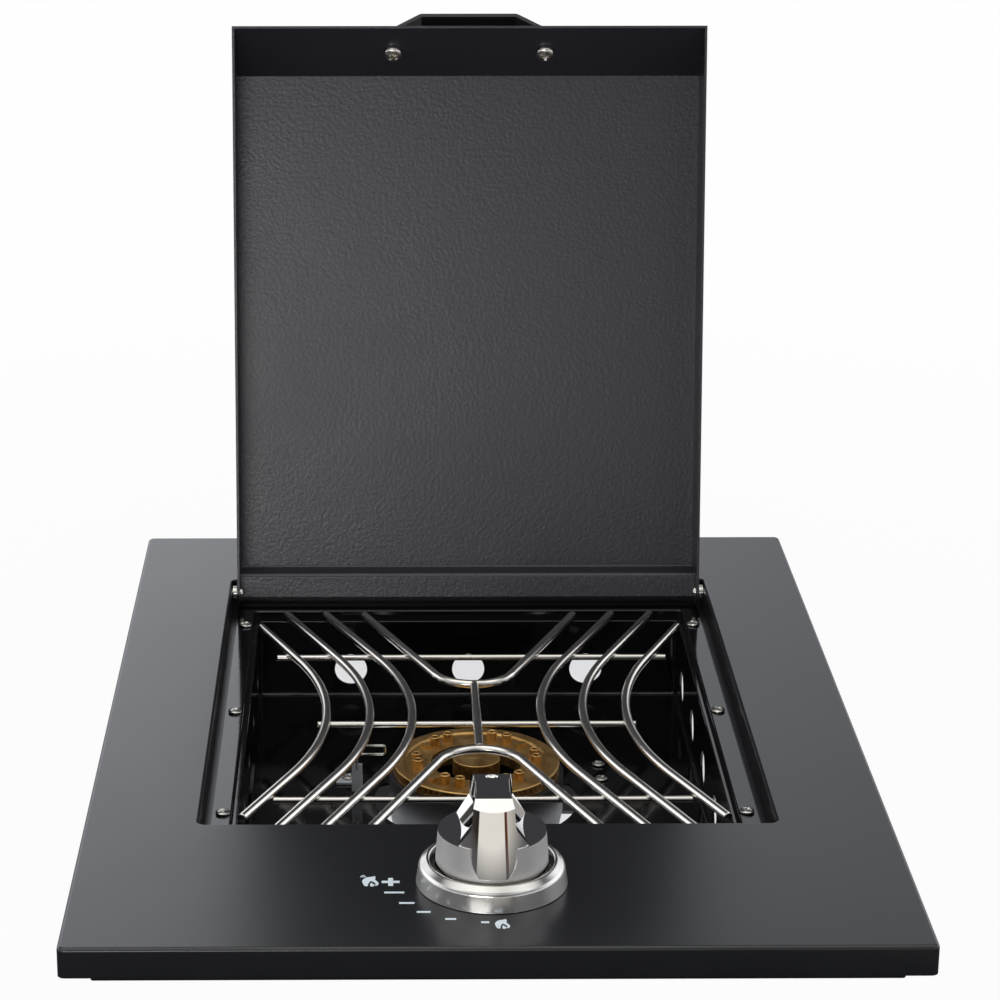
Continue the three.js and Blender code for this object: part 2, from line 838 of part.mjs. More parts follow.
function panSupport() {
  const rods = support.bulges.flatMap((bulge, i) => [-1, 1].map((side) => tubeAlong(
    sideRod(bulge, support.tips[i]).map((p) => v3(side * p.x, p.y, p.z)),
    support.rodRadius,
    rodSides,
    14,
  )));
  const loops = [-1, 1].map((sign) => tubeAlong(endLoop(sign), support.rodRadius, rodSides, 20));
  const middle = tubeAlong(
    [v3(0, -support.crest, 0), v3(0, support.crest, 0)],
    support.rodRadius,
    rodSides,
    1,
  );
  const drop = support.weld - support.rodRadius - support.crossRadius;
  const cross = support.crossReaches.map((reach, i) => {
    const y = (i - 1) * (tray.ledgeY - support.crossInset) - support.crossShift;
    const half = support.outer + reach;
    return tubeAlong([v3(-half, y, drop), v3(half, y, drop)], support.crossRadius, rodSides, 1);
  });
  return made(rods[0], { add: [...rods.slice(1), ...loops, middle, ...cross] });
}

// Burner ring: flat outer rim, recessed floor, twelve socketed bosses, toothed flame
// ports round its side and a spigot that drops into the cup
function burnerRing() {
  const b = burner;
  const top = b.ringTop;
  const floor = top - b.recess;
  const bottom = top - b.ringHeight;
  const spigot = b.cupRadius - b.cupWall - seatGap;
  const rim = b.ringRadius - b.rimWidth;
  const body = turned([
    [b.ringInner, floor],
    [rim - b.recess / 4, floor],
    [rim, top],
    [b.ringRadius - b.recess / 4, top],
    [b.ringRadius, top - b.recess / 4],
    [b.ringRadius, bottom],
    [spigot, bottom],
    [spigot, bottom - b.spigotDepth],
    [spigot - b.spigotWall, bottom - b.spigotDepth],
    [spigot - b.spigotWall, bottom + b.spigotWall],
    [b.ringInner + b.spigotWall, bottom + b.spigotWall],
    [b.ringInner + b.spigotWall, bottom - b.spigotDepth],
    [b.ringInner, bottom - b.spigotDepth],
  ]);
  const bosses = [];
  const sockets = [];
  for (let pair = 0; pair < b.bossPairs; pair += 1) {
    [-1, 1].forEach((side) => {
      const degrees = b.bossStartDegrees + (pair * 360) / b.bossPairs + side * b.bossHalfDegrees;
      const angle = THREE.MathUtils.degToRad(degrees);
      const [x, y] = [b.bossCircle * Math.cos(angle), b.bossCircle * Math.sin(angle)];
      const crown = floor + b.bossHeight;
      bosses.push(prism('z', circle(x, y, b.bossRadius, smallSides), floor - b.recess / 4, crown));
      sockets.push(prism('z', circle(x, y, b.bossSocket, 6), floor + b.recess / 2, crown + overrun));
    });
  }
  const teeth = [];
  for (let k = 0; k < b.toothCount; k += 1) {
    const slot = rectangle(b.ringRadius, 0, b.toothDepth, b.toothGap / 2);
    const high = top - b.toothDrop;
    teeth.push(prism('z', slot, high - b.toothHeight, high)
      .rotateZ(((k + 0.5) / b.toothCount) * 2 * Math.PI));
  }
  return made(body, { add: bosses, cut: [...sockets, ...teeth] });
}

const capCrownShare = 0.8; // the flat crown's radius, of the cap's

function burnerCap() {
  const b = burner;
  const top = b.ringTop + b.capRise;
  const bottom = top - b.capHeight;
  const groove = b.capRadius - b.capPortSize;
  const body = turned([
    [0, top],
    [capCrownShare * b.capRadius, top],
    [b.capRadius, top - b.capRise],
    [b.capRadius, bottom],
    [b.capSpigot, bottom],
    [b.capSpigot, bottom - b.capSpigotDepth],
    [b.capSpigot - b.spigotWall, bottom - b.capSpigotDepth],
    [b.capSpigot - b.spigotWall, bottom + b.spigotWall],
    [0, bottom + b.spigotWall],
  ], tubeSides);
  const ports = [];
  for (let k = 0; k < b.capPorts; k += 1) {
    const diamond = circle(0, (top + bottom) / 2, b.capPortSize, 4);
    ports.push(prism('x', diamond, groove, b.capRadius + overrun)
      .rotateZ((k / b.capPorts) * 2 * Math.PI));
  }
  return made(body, { cut: ports });
}

// Cup: bowl with a shoulder that stands on the strap, a hollow pillar for the cap and a
// side port for the mixing tube
function burnerCup() {
  const b = burner;
  const wall = b.cupWall;
  const rim = b.ringTop - b.ringHeight - seatGap;
  const floor = b.cupBottom + wall;
  const shelf = b.cupShoulder + wall;
  const pillar = b.ringTop + b.capRise - b.capHeight - seatGap;
  const bore = b.capSpigot + seatGap;
  const body = turned([
    [bore, floor],
    [bore, pillar],
    [b.pillarRadius, pillar],
    [b.pillarRadius, floor],
    [b.cupFootRadius - wall, floor],
    [b.cupFootRadius - wall, shelf],
    [b.cupShoulderRadius - wall, shelf],
    [b.cupRadius - wall, b.cupTaperTop],
    [b.cupRadius - wall, rim],
    [b.cupRadius, rim],
    [b.cupRadius, b.cupTaperTop],
    [b.cupShoulderRadius, b.cupShoulder],
    [b.cupFootRadius, b.cupShoulder],
    [b.cupFootRadius, floor],
    [b.cupFootRadius - wall, b.cupBottom],
    [0, b.cupBottom],
    [0, floor],
  ]);
  const port = prism(
    'y',
    circle(0, b.tubeDrop, b.tubeRadius + seatGap, holeSides),
    -b.cupRadius - overrun,
    -b.pillarRadius - overrun,
  );
  const feed = prism(
    'y',
    circle(0, b.tubeDrop, b.capSpigot / 2, smallSides),
    -b.pillarRadius - overrun,
    0,
  );
  return made(body, { cut: [port, feed] });
}

// Mixing tube: closed mouth with a nozzle hole and two air windows, then a taper
function mixingTube() {
  const b = burner;
  const end = opening.midY - b.cupFootRadius + b.cupWall;
  const wall = b.tubeWall;
  const cone = b.mouthY + b.mouthLength + b.coneLength;
  const nose = injector.noseRadius + seatGap;
  const body = turned([
    [nose, b.mouthY],
    [b.mouthRadius, b.mouthY],
    [b.mouthRadius, b.mouthY + b.mouthLength],
    [b.tubeRadius, cone],
    [b.tubeRadius, end],
    [b.tubeRadius - wall, end],
    [b.tubeRadius - wall, cone],
    [b.mouthRadius - wall, b.mouthY + b.mouthLength],
    [b.mouthRadius - wall, b.mouthY + wall],
    [nose, b.mouthY + wall],
  ], tubeSides).rotateX(-Math.PI / 2);
  const window = prism(
    'x',
    rectangle(b.mouthY + b.mouthLength / 2, 0, b.airSlot / 2, b.airSlot / 2),
    -b.mouthRadius - overrun,
    b.mouthRadius + overrun,
  );
  return made(body, { cut: [window] }).translate(0, 0, b.tubeDrop);
}

// Strap: hat section under the tray's floor, notched round the foot of the cup
function burnerStrap() {
  const half = strap.sheet / 2;
  const foot = -tray.floorDrop - tray.sheet - seatGap - half;
  const saddle = burner.cupShoulder - seatGap - half;
  const path = rounded([
    v2(-strap.footHalf, foot),
    v2(-strap.legHalf, foot),
    v2(-strap.legHalf, saddle),
    v2(strap.legHalf, saddle),
    v2(strap.legHalf, foot),
    v2(strap.footHalf, foot),
  ], strap.bend);
  const mid = opening.midY + (strap.screwY[0] + strap.screwY[1]) / 2;
  const outline = stripOutline(path, strap.sheet);
  const notch = prism(
    'z',
    circle(0, opening.midY, burner.cupFootRadius + seatGap, roundSides),
    saddle - overrun,
    saddle + overrun,
  );
  return made(prism('y', outline, mid - strap.width / 2, mid + strap.width / 2), {
    cut: [notch, ...strapScrewHoles(foot - overrun, foot + overrun)],
  });
}

function addStrapScrews() {
  const names = ['left_front', 'left_rear', 'right_front', 'right_rear'];
  const geometry = panScrew(screw.shaftRadius, screw.headRadius, screw.headHeight, screw.length);
  strapScrewPlaces().forEach(([x, y], i) => {
    const under = i === 0 ? igniter.sheet + seatGap : 0;
    place(`strap_screw_${names[i]}`, geometry, zincPlate, {
      x,
      y,
      z: seatGap - tray.floorDrop + under,
    });
  });
}

// Igniter: foot under the left front strap screw, an upright strip and a bent wire
function addIgniter() {
  const { sheet, width, height, footHalf, wireRadius } = igniter;
  const floor = -tray.floorDrop + seatGap;
  const screwX = -strap.screwX;
  const screwY = opening.midY + strap.screwY[0];
  const front = opening.midY + igniter.y;
  const foot = prism(
    'z',
    rectangle(screwX, screwY, footHalf, footHalf, sheet),
    floor,
    floor + sheet,
  );
  const corners = [
    v2(screwY, floor + sheet / 2),
    v2(front + sheet / 2, floor + sheet / 2),
    v2(front + sheet / 2, floor + height),
  ];
  const bent = stripOutline(rounded(corners, sheet), sheet);
  const strip = prism('x', bent, igniter.x - width / 2, igniter.x + width / 2);
  const hole = prism(
    'z',
    circle(screwX, screwY, screw.shaftRadius + seatGap, smallSides),
    floor - overrun,
    floor + overrun,
  );
  place('igniter_bracket', made(strip, { add: [foot], cut: [hole] }), zincPlate);
  const wireY = front - seatGap - wireRadius;
  const low = floor + igniter.wireLow;
  const high = floor + igniter.wireHigh;
  const reach = igniter.x + igniter.wireReach;
  const route = rounded([
    v3(igniter.x, wireY, floor + igniter.wireStart),
    v3(igniter.x, wireY, low),
    v3(reach, wireY, low),
    v3(reach, wireY, high),
    v3(igniter.x + width / 2, wireY, high),
  ], wireRadius * 2);
  place('igniter_electrode', made(tubeAlong(route, wireRadius, 5, 20)), stainless);
}

// Knob bezel: a pressed ring with a rolled inner rim, open below
function knobBezel() {
  const { baseRadius, height, rimRadius, innerRadius, sheet, shoulder } = bezel;
  const foot = seatGap;
  return turned([
    [baseRadius, foot],
    [baseRadius, height - shoulder - sheet],
    [baseRadius - shoulder * foldShare, height - shoulder * foldShare - sheet],
    [rimRadius + sheet, height],
    [rimRadius - sheet, height],
    [innerRadius, height - sheet],
    [innerRadius, foot],
    [innerRadius + sheet, foot],
    [innerRadius + sheet, height - 2 * sheet],
    [rimRadius, height - sheet],
    [baseRadius - shoulder * foldShare - sheet, height - shoulder * foldShare - 2 * sheet],
    [baseRadius - sheet, height - shoulder - 2 * sheet],
    [baseRadius - sheet, foot],
  ]);
}

// Knob: a turned body with a waisted grip left standing between two side hollows
function sideHollow(side) {
  const sag = knob.endHalf - knob.waistHalf;
  const chord = knob.shoulderRadius;
  const bow = (chord ** 2 + sag ** 2) / (2 * sag);
  const rings = [];
  const steps = 8;
  const widest = Math.asin((chord + overrun) / bow);
  for (let k = 0; k <= steps; k += 1) {
    const angle = ((2 * k) / steps - 1) * widest;
    const wall = [];
    for (let q = 0; q <= 3; q += 1) {
      const bend = (q / 3) * (Math.PI / 2);
      wall.push([knob.cove * (1 - Math.cos(bend)), knob.floor + knob.cove * (1 - Math.sin(bend))]);
    }
    const section = [
      [0, knob.top + overrun],
      ...wall,
      [knob.beadRadius, knob.floor],
      [knob.beadRadius, knob.top + overrun],
    ];
    rings.push(section.map(([out, z]) => {
      const radius = bow - out;
      const x = knob.waistHalf + bow - radius * Math.cos(angle);
      return v3(side * x, radius * Math.sin(angle), z);
    }));
  }
  return loft(rings, false);
}

function knobBody() {
  const k = knob;
  const body = turned([
    [0, k.top],
    [k.crownRadius, k.top],
    [k.shoulderRadius, k.shoulderTop],
    [k.skirtRadius, k.skirtTop],
    [k.skirtRadius, k.bottom + k.beadHeight + k.beadTaper],
    [k.beadRadius, k.bottom + k.beadHeight],
    [k.beadRadius, k.bottom],
    [k.skirtRadius - k.wall, k.bottom],
    [k.skirtRadius - k.wall - k.draft, k.ceiling],
    [k.hubRadius, k.ceiling],
    [k.hubRadius, k.hubBottom],
    [stem.radius + seatGap, k.hubBottom],
    [stem.radius + seatGap, k.boreTop],
    [0, k.boreTop],
  ]);
  return made(body, { cut: [sideHollow(-1), sideHollow(1)] });
}

// Gas valve under the plate: eared flange, bonnet bore for the spring, two side ports
function valveBody() {
  const v = valve;
  const top = -plate.sheet - seatGap;
  const flange = prism(
    'z',
    rectangle(0, 0, v.flangeHalfX, v.flangeHalfY, v.flangeHalfY / 2),
    top - v.flangeHeight,
    top,
  );
  const core = turned([
    [0, top - v.flangeHeight / 2],
    [v.bonnetRadius, top - v.flangeHeight / 2],
    [v.bonnetRadius, -v.bonnetDrop],
    [v.bodyRadius, -v.bonnetDrop],
    [v.bodyRadius, -v.bodyDrop + v.portBore],
    [v.bodyRadius - v.portBore, -v.bodyDrop],
    [0, -v.bodyDrop],
  ], tubeSides);
  const outlet = prism('y', circle(0, -v.portDrop, v.portRadius, smallSides), 0, v.portReach);
  const inletBoss = prism('x', circle(0, -v.portDrop, v.portRadius, smallSides), 0, v.portReach);
  const bore = prism('z', circle(0, 0, v.boreRadius, holeSides), -v.boreDrop, top + overrun);
  const outletBore = prism('y', circle(0, -v.portDrop, v.portBore, smallSides), 0, v.portReach + overrun);
  const inletBore = prism('x', circle(0, -v.portDrop, v.portBore, smallSides), 0, v.portReach + overrun);
  const ears = [-1, 1].map((side) => prism(
    'z',
    circle(side * v.earX, 0, screw.shaftRadius + seatGap, smallSides),
    top - v.flangeHeight - overrun,
    top + overrun,
  ));
  return made(flange, {
    add: [core, outlet, inletBoss],
    cut: [bore, outletBore, inletBore, ...ears],
  });
}

function addValve() {
  const at = { x: control.x, y: control.y };
  place('valve_body', valveBody(), agedBrass, at);
  const head = panScrew(
    screw.shaftRadius,
    screw.headRadius,
    screw.headHeight,
    valve.screwLength + plate.sheet,
  );
  ['left', 'right'].forEach((name, i) => {
    place(`valve_screw_${name}`, head, zincPlate, {
      x: control.x + (2 * i - 1) * valve.earX,
      y: control.y,
      z: seatGap,
    });
  });
  const collar = turned([
    [stem.radius + seatGap, plunger.top],
    [plunger.radius, plunger.top],
    [plunger.radius, plunger.top - plunger.height],
    [stem.radius + seatGap, plunger.top - plunger.height],
  ], holeSides);
  place('valve_plunger', made(collar), zincPlate, at);
  const shaft = prism(
    'z',
    circle(0, 0, stem.radius, holeSides),
    stem.bottom + control.push,
    knob.boreTop - seatGap,
  );
  const flat = prism(
    'z',
    rectangle(0, 2 * stem.radius - stem.flat, 2 * stem.radius, stem.radius),
    knob.hubBottom,
    knob.boreTop + overrun,
  );
  place('valve_stem', made(shaft, { cut: [flat] }), zincPlate, at);
  place('valve_spring', valveSpring(), springSteel, at);
  const box = prism(
    'z',
    rectangle(0, 0, sparkSwitch.halfX, sparkSwitch.halfY, sparkSwitch.corner),
    sparkSwitch.top - sparkSwitch.height,
    sparkSwitch.top,
    [circle(0, 0, valve.bonnetRadius + seatGap, holeSides)],
  );
  place('ignition_switch', made(box), blackPlastic, at);
}

// Return spring below the plunger, one unbroken helix
function valveSpring() {
  const low = -valve.boreDrop + seatGap + spring.wireRadius;
  const high = plunger.top - plunger.height - seatGap - spring.wireRadius;
  const radius = (stem.radius + valve.boreRadius) / 2;
  const count = spring.turns * spring.stepsPerTurn;
  const points = Array.from({ length: count + 1 }, (_, i) => {
    const angle = (i / spring.stepsPerTurn) * 2 * Math.PI;
    return v3(
      radius * Math.cos(angle),
      radius * Math.sin(angle),
      low + ((high - low) * i) / count,
    );
  });
  return made(tubeAlong(points, spring.wireRadius, spring.sides, count));
}

// Supply pipe from the valve down to the nozzle, and the nozzle in the tube's mouth
function addSupply() {
  const start = control.y + valve.portReach + seatGap;
  const route = rounded([
    v3(control.x, start, -valve.portDrop),
    v3(control.x, pipe.downY, -valve.portDrop),
    v3(0, pipe.downY, burner.tubeDrop),
    v3(0, pipe.endY, burner.tubeDrop),
  ], pipe.bend, 5);
  place('supply_pipe', made(tubeAlong(route, pipe.radius, 10, 22)), copper);
  const from = pipe.endY + seatGap;
  const hex = prism('y', circle(0, 0, injector.hexRadius, 6), from, from + injector.length);
  const nose = prism(
    'y',
    circle(0, 0, injector.noseRadius, smallSides),
    from,
    from + injector.length + injector.noseLength,
  );
  place('gas_nozzle', made(hex, { add: [nose] }), agedBrass, { z: burner.tubeDrop });
}

function gasInlet() {
  const from = valve.portReach + seatGap;
  const hexStart = from + inlet.reach - inlet.hexLength - inlet.threadLength;
  const hexEnd = hexStart + inlet.hexLength;
  const end = from + inlet.reach;
  const tube = prism('x', circle(0, 0, inlet.pipeRadius, smallSides), from, hexEnd);
  const hex = prism('x', circle(0, 0, inlet.hexRadius, 6), hexStart, hexEnd);
  const thread = prism('x', circle(0, 0, inlet.threadRadius, holeSides), hexStart, end);
  const bore = prism('x', circle(0, 0, inlet.boreRadius, smallSides), from - overrun, end + overrun);
  return made(tube, { add: [hex, thread], cut: [bore] });
}

place('hob_plate', hobPlate(), satinBlack);
place('burner_tray', burnerTray(), blackEnamel);
addTrayScrews();
addLid();
addHinges();
place('pan_support', panSupport(), stainless, { y: opening.midY, z: support.z });
place('burner_cup', burnerCup(), castIron, { y: opening.midY });
place('burner_ring', burnerRing(), agedBrass, { y: opening.midY });
place('burner_cap', burnerCap(), agedBrass, { y: opening.midY });
place('mixing_tube', mixingTube(), zincPlate);
place('burner_strap', burnerStrap(), satinBlack);
addStrapScrews();
addIgniter();
place('knob_bezel', made(knobBezel()), satinChrome, { x: control.x, y: control.y });
place('knob', knobBody(), polishedChrome, { x: control.x, y: control.y });
addValve();
addSupply();
place('gas_inlet', gasInlet(), agedBrass, {
  x: control.x,
  y: control.y,
  z: -valve.portDrop,
});

export default part;
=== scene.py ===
"""Looks of the built in side burner: smooth sheet metal, rods, burner, knob and print
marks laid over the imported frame. Lengths are millimetres in the plate's own frame (x to
the right, y back from the front skirt, z up from the plate's top) until piece() puts
them in the row frame in metres."""
import math
import random

import bmesh
import bpy
from mathutils import Matrix, Vector


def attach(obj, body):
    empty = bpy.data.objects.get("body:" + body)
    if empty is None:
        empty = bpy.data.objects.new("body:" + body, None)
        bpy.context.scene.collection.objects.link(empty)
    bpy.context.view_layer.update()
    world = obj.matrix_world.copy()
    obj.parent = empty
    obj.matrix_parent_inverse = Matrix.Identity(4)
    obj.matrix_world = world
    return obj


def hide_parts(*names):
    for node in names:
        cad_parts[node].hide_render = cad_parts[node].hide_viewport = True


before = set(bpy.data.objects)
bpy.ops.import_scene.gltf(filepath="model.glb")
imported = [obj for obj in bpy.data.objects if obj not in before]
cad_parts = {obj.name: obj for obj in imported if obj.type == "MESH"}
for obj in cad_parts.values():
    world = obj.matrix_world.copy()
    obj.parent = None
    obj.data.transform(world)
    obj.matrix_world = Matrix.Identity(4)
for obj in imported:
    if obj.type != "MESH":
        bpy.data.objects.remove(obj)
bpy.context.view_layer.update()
random.seed(7)

TO_FRAME = Matrix.Scale(0.001, 4) @ Matrix.Translation((0, -7, 14.2))

# Plate, opening and tray
PLATE = dict(half_x=170, depth=480, drop=14.2, skirt=12.6, sheet=1.2, lip=14, mitre=13,
             bend=1.6, corner=3)
OPENING = dict(half_x=121.5, half_y=149.3, mid_y=263.1, corner=2.5)
TRAY = dict(sheet=1, ledge=-11.7, shelf=-15.6, floor=-56, ledge_x=109.8, ledge_y=135.3,
            wall_x=107.3, wall_y=130.2, edge_gap=3.3, corner=2, bend=1.5, vent=8.25,
            rear_vents=(60.5, -42), side_vents=(50.5, -41))
BURNER_Y = OPENING["mid_y"]
FIT = 0.3  # left between pieces that rest on each other
OVER = 6  # how far a cutter runs past what it cuts
CLEAR = 2.05  # radius of the holes for small screws and hinge pins
SIDES = [(-1, "left"), (1, "right")]
SIGNS = [(1, 1), (-1, 1), (-1, -1), (1, -1)]
TRAY_SCREWS = [(side * 113.6, BURNER_Y + row) for side in (-1, 1) for row in (-114, 0, 114)]
STRAP_SCREWS = [(side * 61, BURNER_Y + row) for side in (-1, 1) for row in (21, 38.5)]

# Lid, drawn closed about its hinge axis
LID = dict(half_x=118.8, sheet=1.2, reach=289, bevel=25, top=21, rim=5, lip_top=5.1,
           lip_back=3.06, ear=5, step=8.2, pin_y=406.1, pin_z=-4.5, lean=9)
LEAF = (Matrix.Translation((0, LID["pin_y"], LID["pin_z"]))
        @ Matrix.Rotation(math.radians(-90 - LID["lean"]), 4, "X"))
FACE = (LEAF @ Matrix.Translation((0, LID["bevel"] / 2 - LID["reach"],
                                   LID["top"] - LID["bevel"] / 2))
        @ Matrix.Rotation(math.radians(45), 4, "X"))
HANDLE = dict(half_y=10, sheet=2.2, stand_off=16.2, bar=24, foot=43.5, tab=33, screw=38.4,
              hole=2.8)

# Pan support: rods, then (bulge, tip) of each bow, (side, crest) of each loop and
# (place, half length) of each cross rod, all from the burner's centre
ROD = dict(radius=2.1, cross=1.5, z=-13.2, weld=0.6, bow_turn=23.75, bow_radius=172,
           loop_turn=23.05, loop_radius=20.1, loop_tip=132.6)
BOWS = [(30.3, 133.6), (50.3, 133.6), (70.6, 115.5)]
LOOPS = [(-1, 40.9), (1, 38)]
CROSS_RODS = [(-90, 92.8), (-4.2, 74.7), (81.0, 96.6)]

# Burner and igniter
RING = dict(top=-36.4, floor=-37.3, low=-41.4, radius=39.3, inner=21.5, spigot=37.9,
            teeth=80, boss=2.4, boss_circle=28.3, boss_apart=7.8)
CAP = dict(top=-34.9, low=-42.9, radius=11.2, spigot=7, ports=22, port=0.8)
CUP = dict(rim=-41.7, floor=-83, low=-86, inside=33, mouth=38.2, radius=41.2)
IGNITER = dict(front=5.2, left=-59, right=-54, height=15, sheet=1, foot=5.6)

# Knob and bezel
KNOB_AT = Vector((-0.6, 58.65, 0))
STEM_HOLE = 6.2
VALVE_SCREW_X = 13
INK = 0.06
KNOB = dict(top=41.3, floor=22.8, skirt=22.7, skirt_top=11, bead=23.2, foot=4.2,
            ceiling=17, hub=7.4, bore=4.3, waist=6.5, sag=2.25, chord=19.7,
            facet_in=12.1, facet_out=18.9, facet_low=38.1)
TAPER = [(17.9, 45), (22.45, 11)]  # radius and height of the grip's ends, high and low

# The satin skirt in metres: where radius + slope * height passes the grip's taper, and
# where the height passes the flats beside the grip
SATIN = dict(slope=0.1338, start=0.02583, full=0.02592, under=0.03685, over=0.0369,
             polished=0.04, satin=0.5)

# Stage in metres: the floor's opening and size, how far off it starts to glow in
# mirrors, and the camera as fitted to the photo
FLOOR = dict(mid_y=0.233, width=0.312, depth=0.452, size=12.0, glow_from=0.30,
             glow_full=0.42, white=0.97)
CAMERA = dict(at=(-0.04497, -1.01538, 0.53157), down=18.047, turn=-0.4, lens=105.03,
              sensor=36, shift=(0.10, -0.02), far=50)
ROOM_POWER = 2.0


# Materials

def srgb(text):
    """Linear colour of a hex string as it is seen on a screen."""
    values = [int(text[i:i + 2], 16) / 255 for i in (1, 3, 5)]
    return tuple(v / 12.92 if v <= 0.04045 else ((v + 0.055) / 1.055) ** 2.4
                 for v in values) + (1.0,)


def add(tree, kind, settings=None, links=None):
    """Adds one node. Settings are ramp stops, properties or input sockets by name, or by
    number where names repeat. Links give a source node and its socket."""
    node = tree.nodes.new(kind)
    for name, value in (settings or {}).items():
        if isinstance(value, str) and value.startswith("#"):
            value = srgb(value)
        if name == "stops":
            elements = node.color_ramp.elements
            while len(elements) < len(value):
                elements.new(0.5)
            for element, (position, colour) in zip(elements, value):
                element.position = position
                element.color = srgb(colour)
        elif isinstance(name, int) or name in node.inputs:
            node.inputs[name].default_value = value
        else:
            setattr(node, name, value)
    for name, (source, socket) in (links or {}).items():
        tree.links.new(source.outputs[socket], node.inputs[name])
    return node


def cleared(owner):
    """The empty node tree of a material or world."""
    owner.use_nodes = True
    owner.node_tree.nodes.clear()
    return owner.node_tree


def surface(name, colours, metallic, roughness, patch=20, grain=0.5, stretch=(1, 1, 1),
            bump=0.0, ior=1.5):
    """A finish with soft patches of tone, a spread of roughness and a fine grain.
    patch and grain are feature sizes in mm, bump the grain's height in mm."""
    material = bpy.data.materials.new(name)
    tree = cleared(material)
    where = add(tree, "ShaderNodeTexCoord")
    patches = add(tree, "ShaderNodeTexNoise",
                  {"Scale": 1000 / patch, "Detail": 4.0, "Roughness": 0.6},
                  {"Vector": (where, "Object")})
    tone = add(tree, "ShaderNodeValToRGB",
               {"stops": [(0.3, colours[0]), (0.7, colours[1])]},
               {"Fac": (patches, "Fac")})
    lay = add(tree, "ShaderNodeMapping", {"Scale": stretch}, {"Vector": (where, "Object")})
    fine = add(tree, "ShaderNodeTexNoise",
               {"Scale": 1000 / grain, "Detail": 2.0, "Roughness": 0.5},
               {"Vector": (lay, "Vector")})
    rough = add(tree, "ShaderNodeMapRange",
                {"From Min": 0.3, "From Max": 0.7, "To Min": roughness[0],
                 "To Max": roughness[1]},
                {"Value": (fine if bump == 0 else patches, "Fac")})
    links = {"Base Color": (tone, "Color"), "Roughness": (rough, "Result")}
    if bump:
        relief = add(tree, "ShaderNodeBump", {"Distance": bump / 1000, "Strength": 1.0},
                     {"Height": (fine, "Fac")})
        links["Normal"] = (relief, "Normal")
    shader = add(tree, "ShaderNodeBsdfPrincipled", {"Metallic": metallic, "IOR": ior},
                 links)
    add(tree, "ShaderNodeOutputMaterial", {}, {"Surface": (shader, "BSDF")})
    return material


FINISH = {
    # The plate's powder coat: near black, a soft sheen that takes a blurred reflection
    "plate_black": surface("powder_coat_black", ("#131416", "#161719"), 0, (0.27, 0.3),
                           patch=90, grain=0.7, bump=0.004, ior=1.6),
    # Enamel of the tray: deep black that mirrors the rods
    "tray_black": surface("enamel_black", ("#060607", "#0a0a0b"), 0, (0.06, 0.1),
                          patch=60, grain=4, bump=0.02),
    # The lid's coat: dark grey with a visible orange peel
    "lid_grey": surface("powder_coat_grey", ("#201f26", "#24232b"), 0, (0.33, 0.38),
                        patch=90, grain=1.8, bump=0.13, ior=1.6),
    # Handle strip: smooth satin black
    "handle_black": surface("satin_black", ("#121214", "#161618"), 0, (0.3, 0.34),
                            patch=40, grain=0.7, bump=0.004),
    # Drawn rod: bright, with fine streaks
    "stainless": surface("stainless_rod", ("#dcd7cf", "#e4e0d9"), 1, (0.2, 0.24),
                         patch=15, grain=0.15, stretch=(1, 0.2, 1)),
    # Zinc plate on screws, washers and hidden steel: pale, shiny, a little cloudy
    "plated": surface("zinc_plate", ("#c4c2bc", "#d6d4cf"), 1, (0.16, 0.26), patch=4,
                      grain=0.3),
    # The igniter's strip: zinc left matt so it takes light evenly, painted paler than the
    # plated zinc as painted light so the upright strip looks lit
    "matt_zinc_painted_light": surface("matt_zinc_painted_light", ("#e0e2e5", "#eaecee"), 1, (0.62, 0.7), patch=5,
                         grain=0.3),
    # Cast brass, heat stained in patches
    "burner_brass": surface("aged_brass", ("#b48c4e", "#dab478"), 1, (0.34, 0.5),
                            patch=7, grain=0.9, bump=0.06),
    # The cup's cast iron: dark grey, dull, a little sandy
    "cup_iron": surface("cast_iron", ("#1c1c1e", "#262628"), 0, (0.5, 0.6),
                        patch=9, grain=0.9, bump=0.05),
    # Polished chrome of the grip: a clean mirror
    "chrome": surface("polished_chrome", ("#dcdad7", "#e2e0de"), 1, (0.03, 0.05),
                      patch=30, grain=0.5),
    # Satin chrome of the bezel: soft bands of light
    "satin_chrome": surface("satin_chrome", ("#c6c4bf", "#d2d0cc"), 1, (0.16, 0.24),
                            patch=20, grain=0.3, stretch=(1, 1, 0.1)),
    # Below the plate: spring wire, moulded plastic and drawn pipe
    "spring_steel": surface("spring_steel", ("#8d8c89", "#a5a4a0"), 1, (0.25, 0.35)),
    "black_plastic": surface("moulded_black", ("#0e0e10", "#141416"), 0, (0.4, 0.5),
                             grain=0.6, bump=0.01, ior=1.46),
    "pipe_copper": surface("drawn_copper", ("#a8643f", "#c07a50"), 1, (0.22, 0.36),
                           patch=12, grain=0.5),
    # Printed marks: pale ink with a faint blue cast
    "print_pale": surface("print_ink", ("#d5e2ea", "#e2ecf1"), 0, (0.5, 0.6), patch=3,
                          grain=0.4),
}


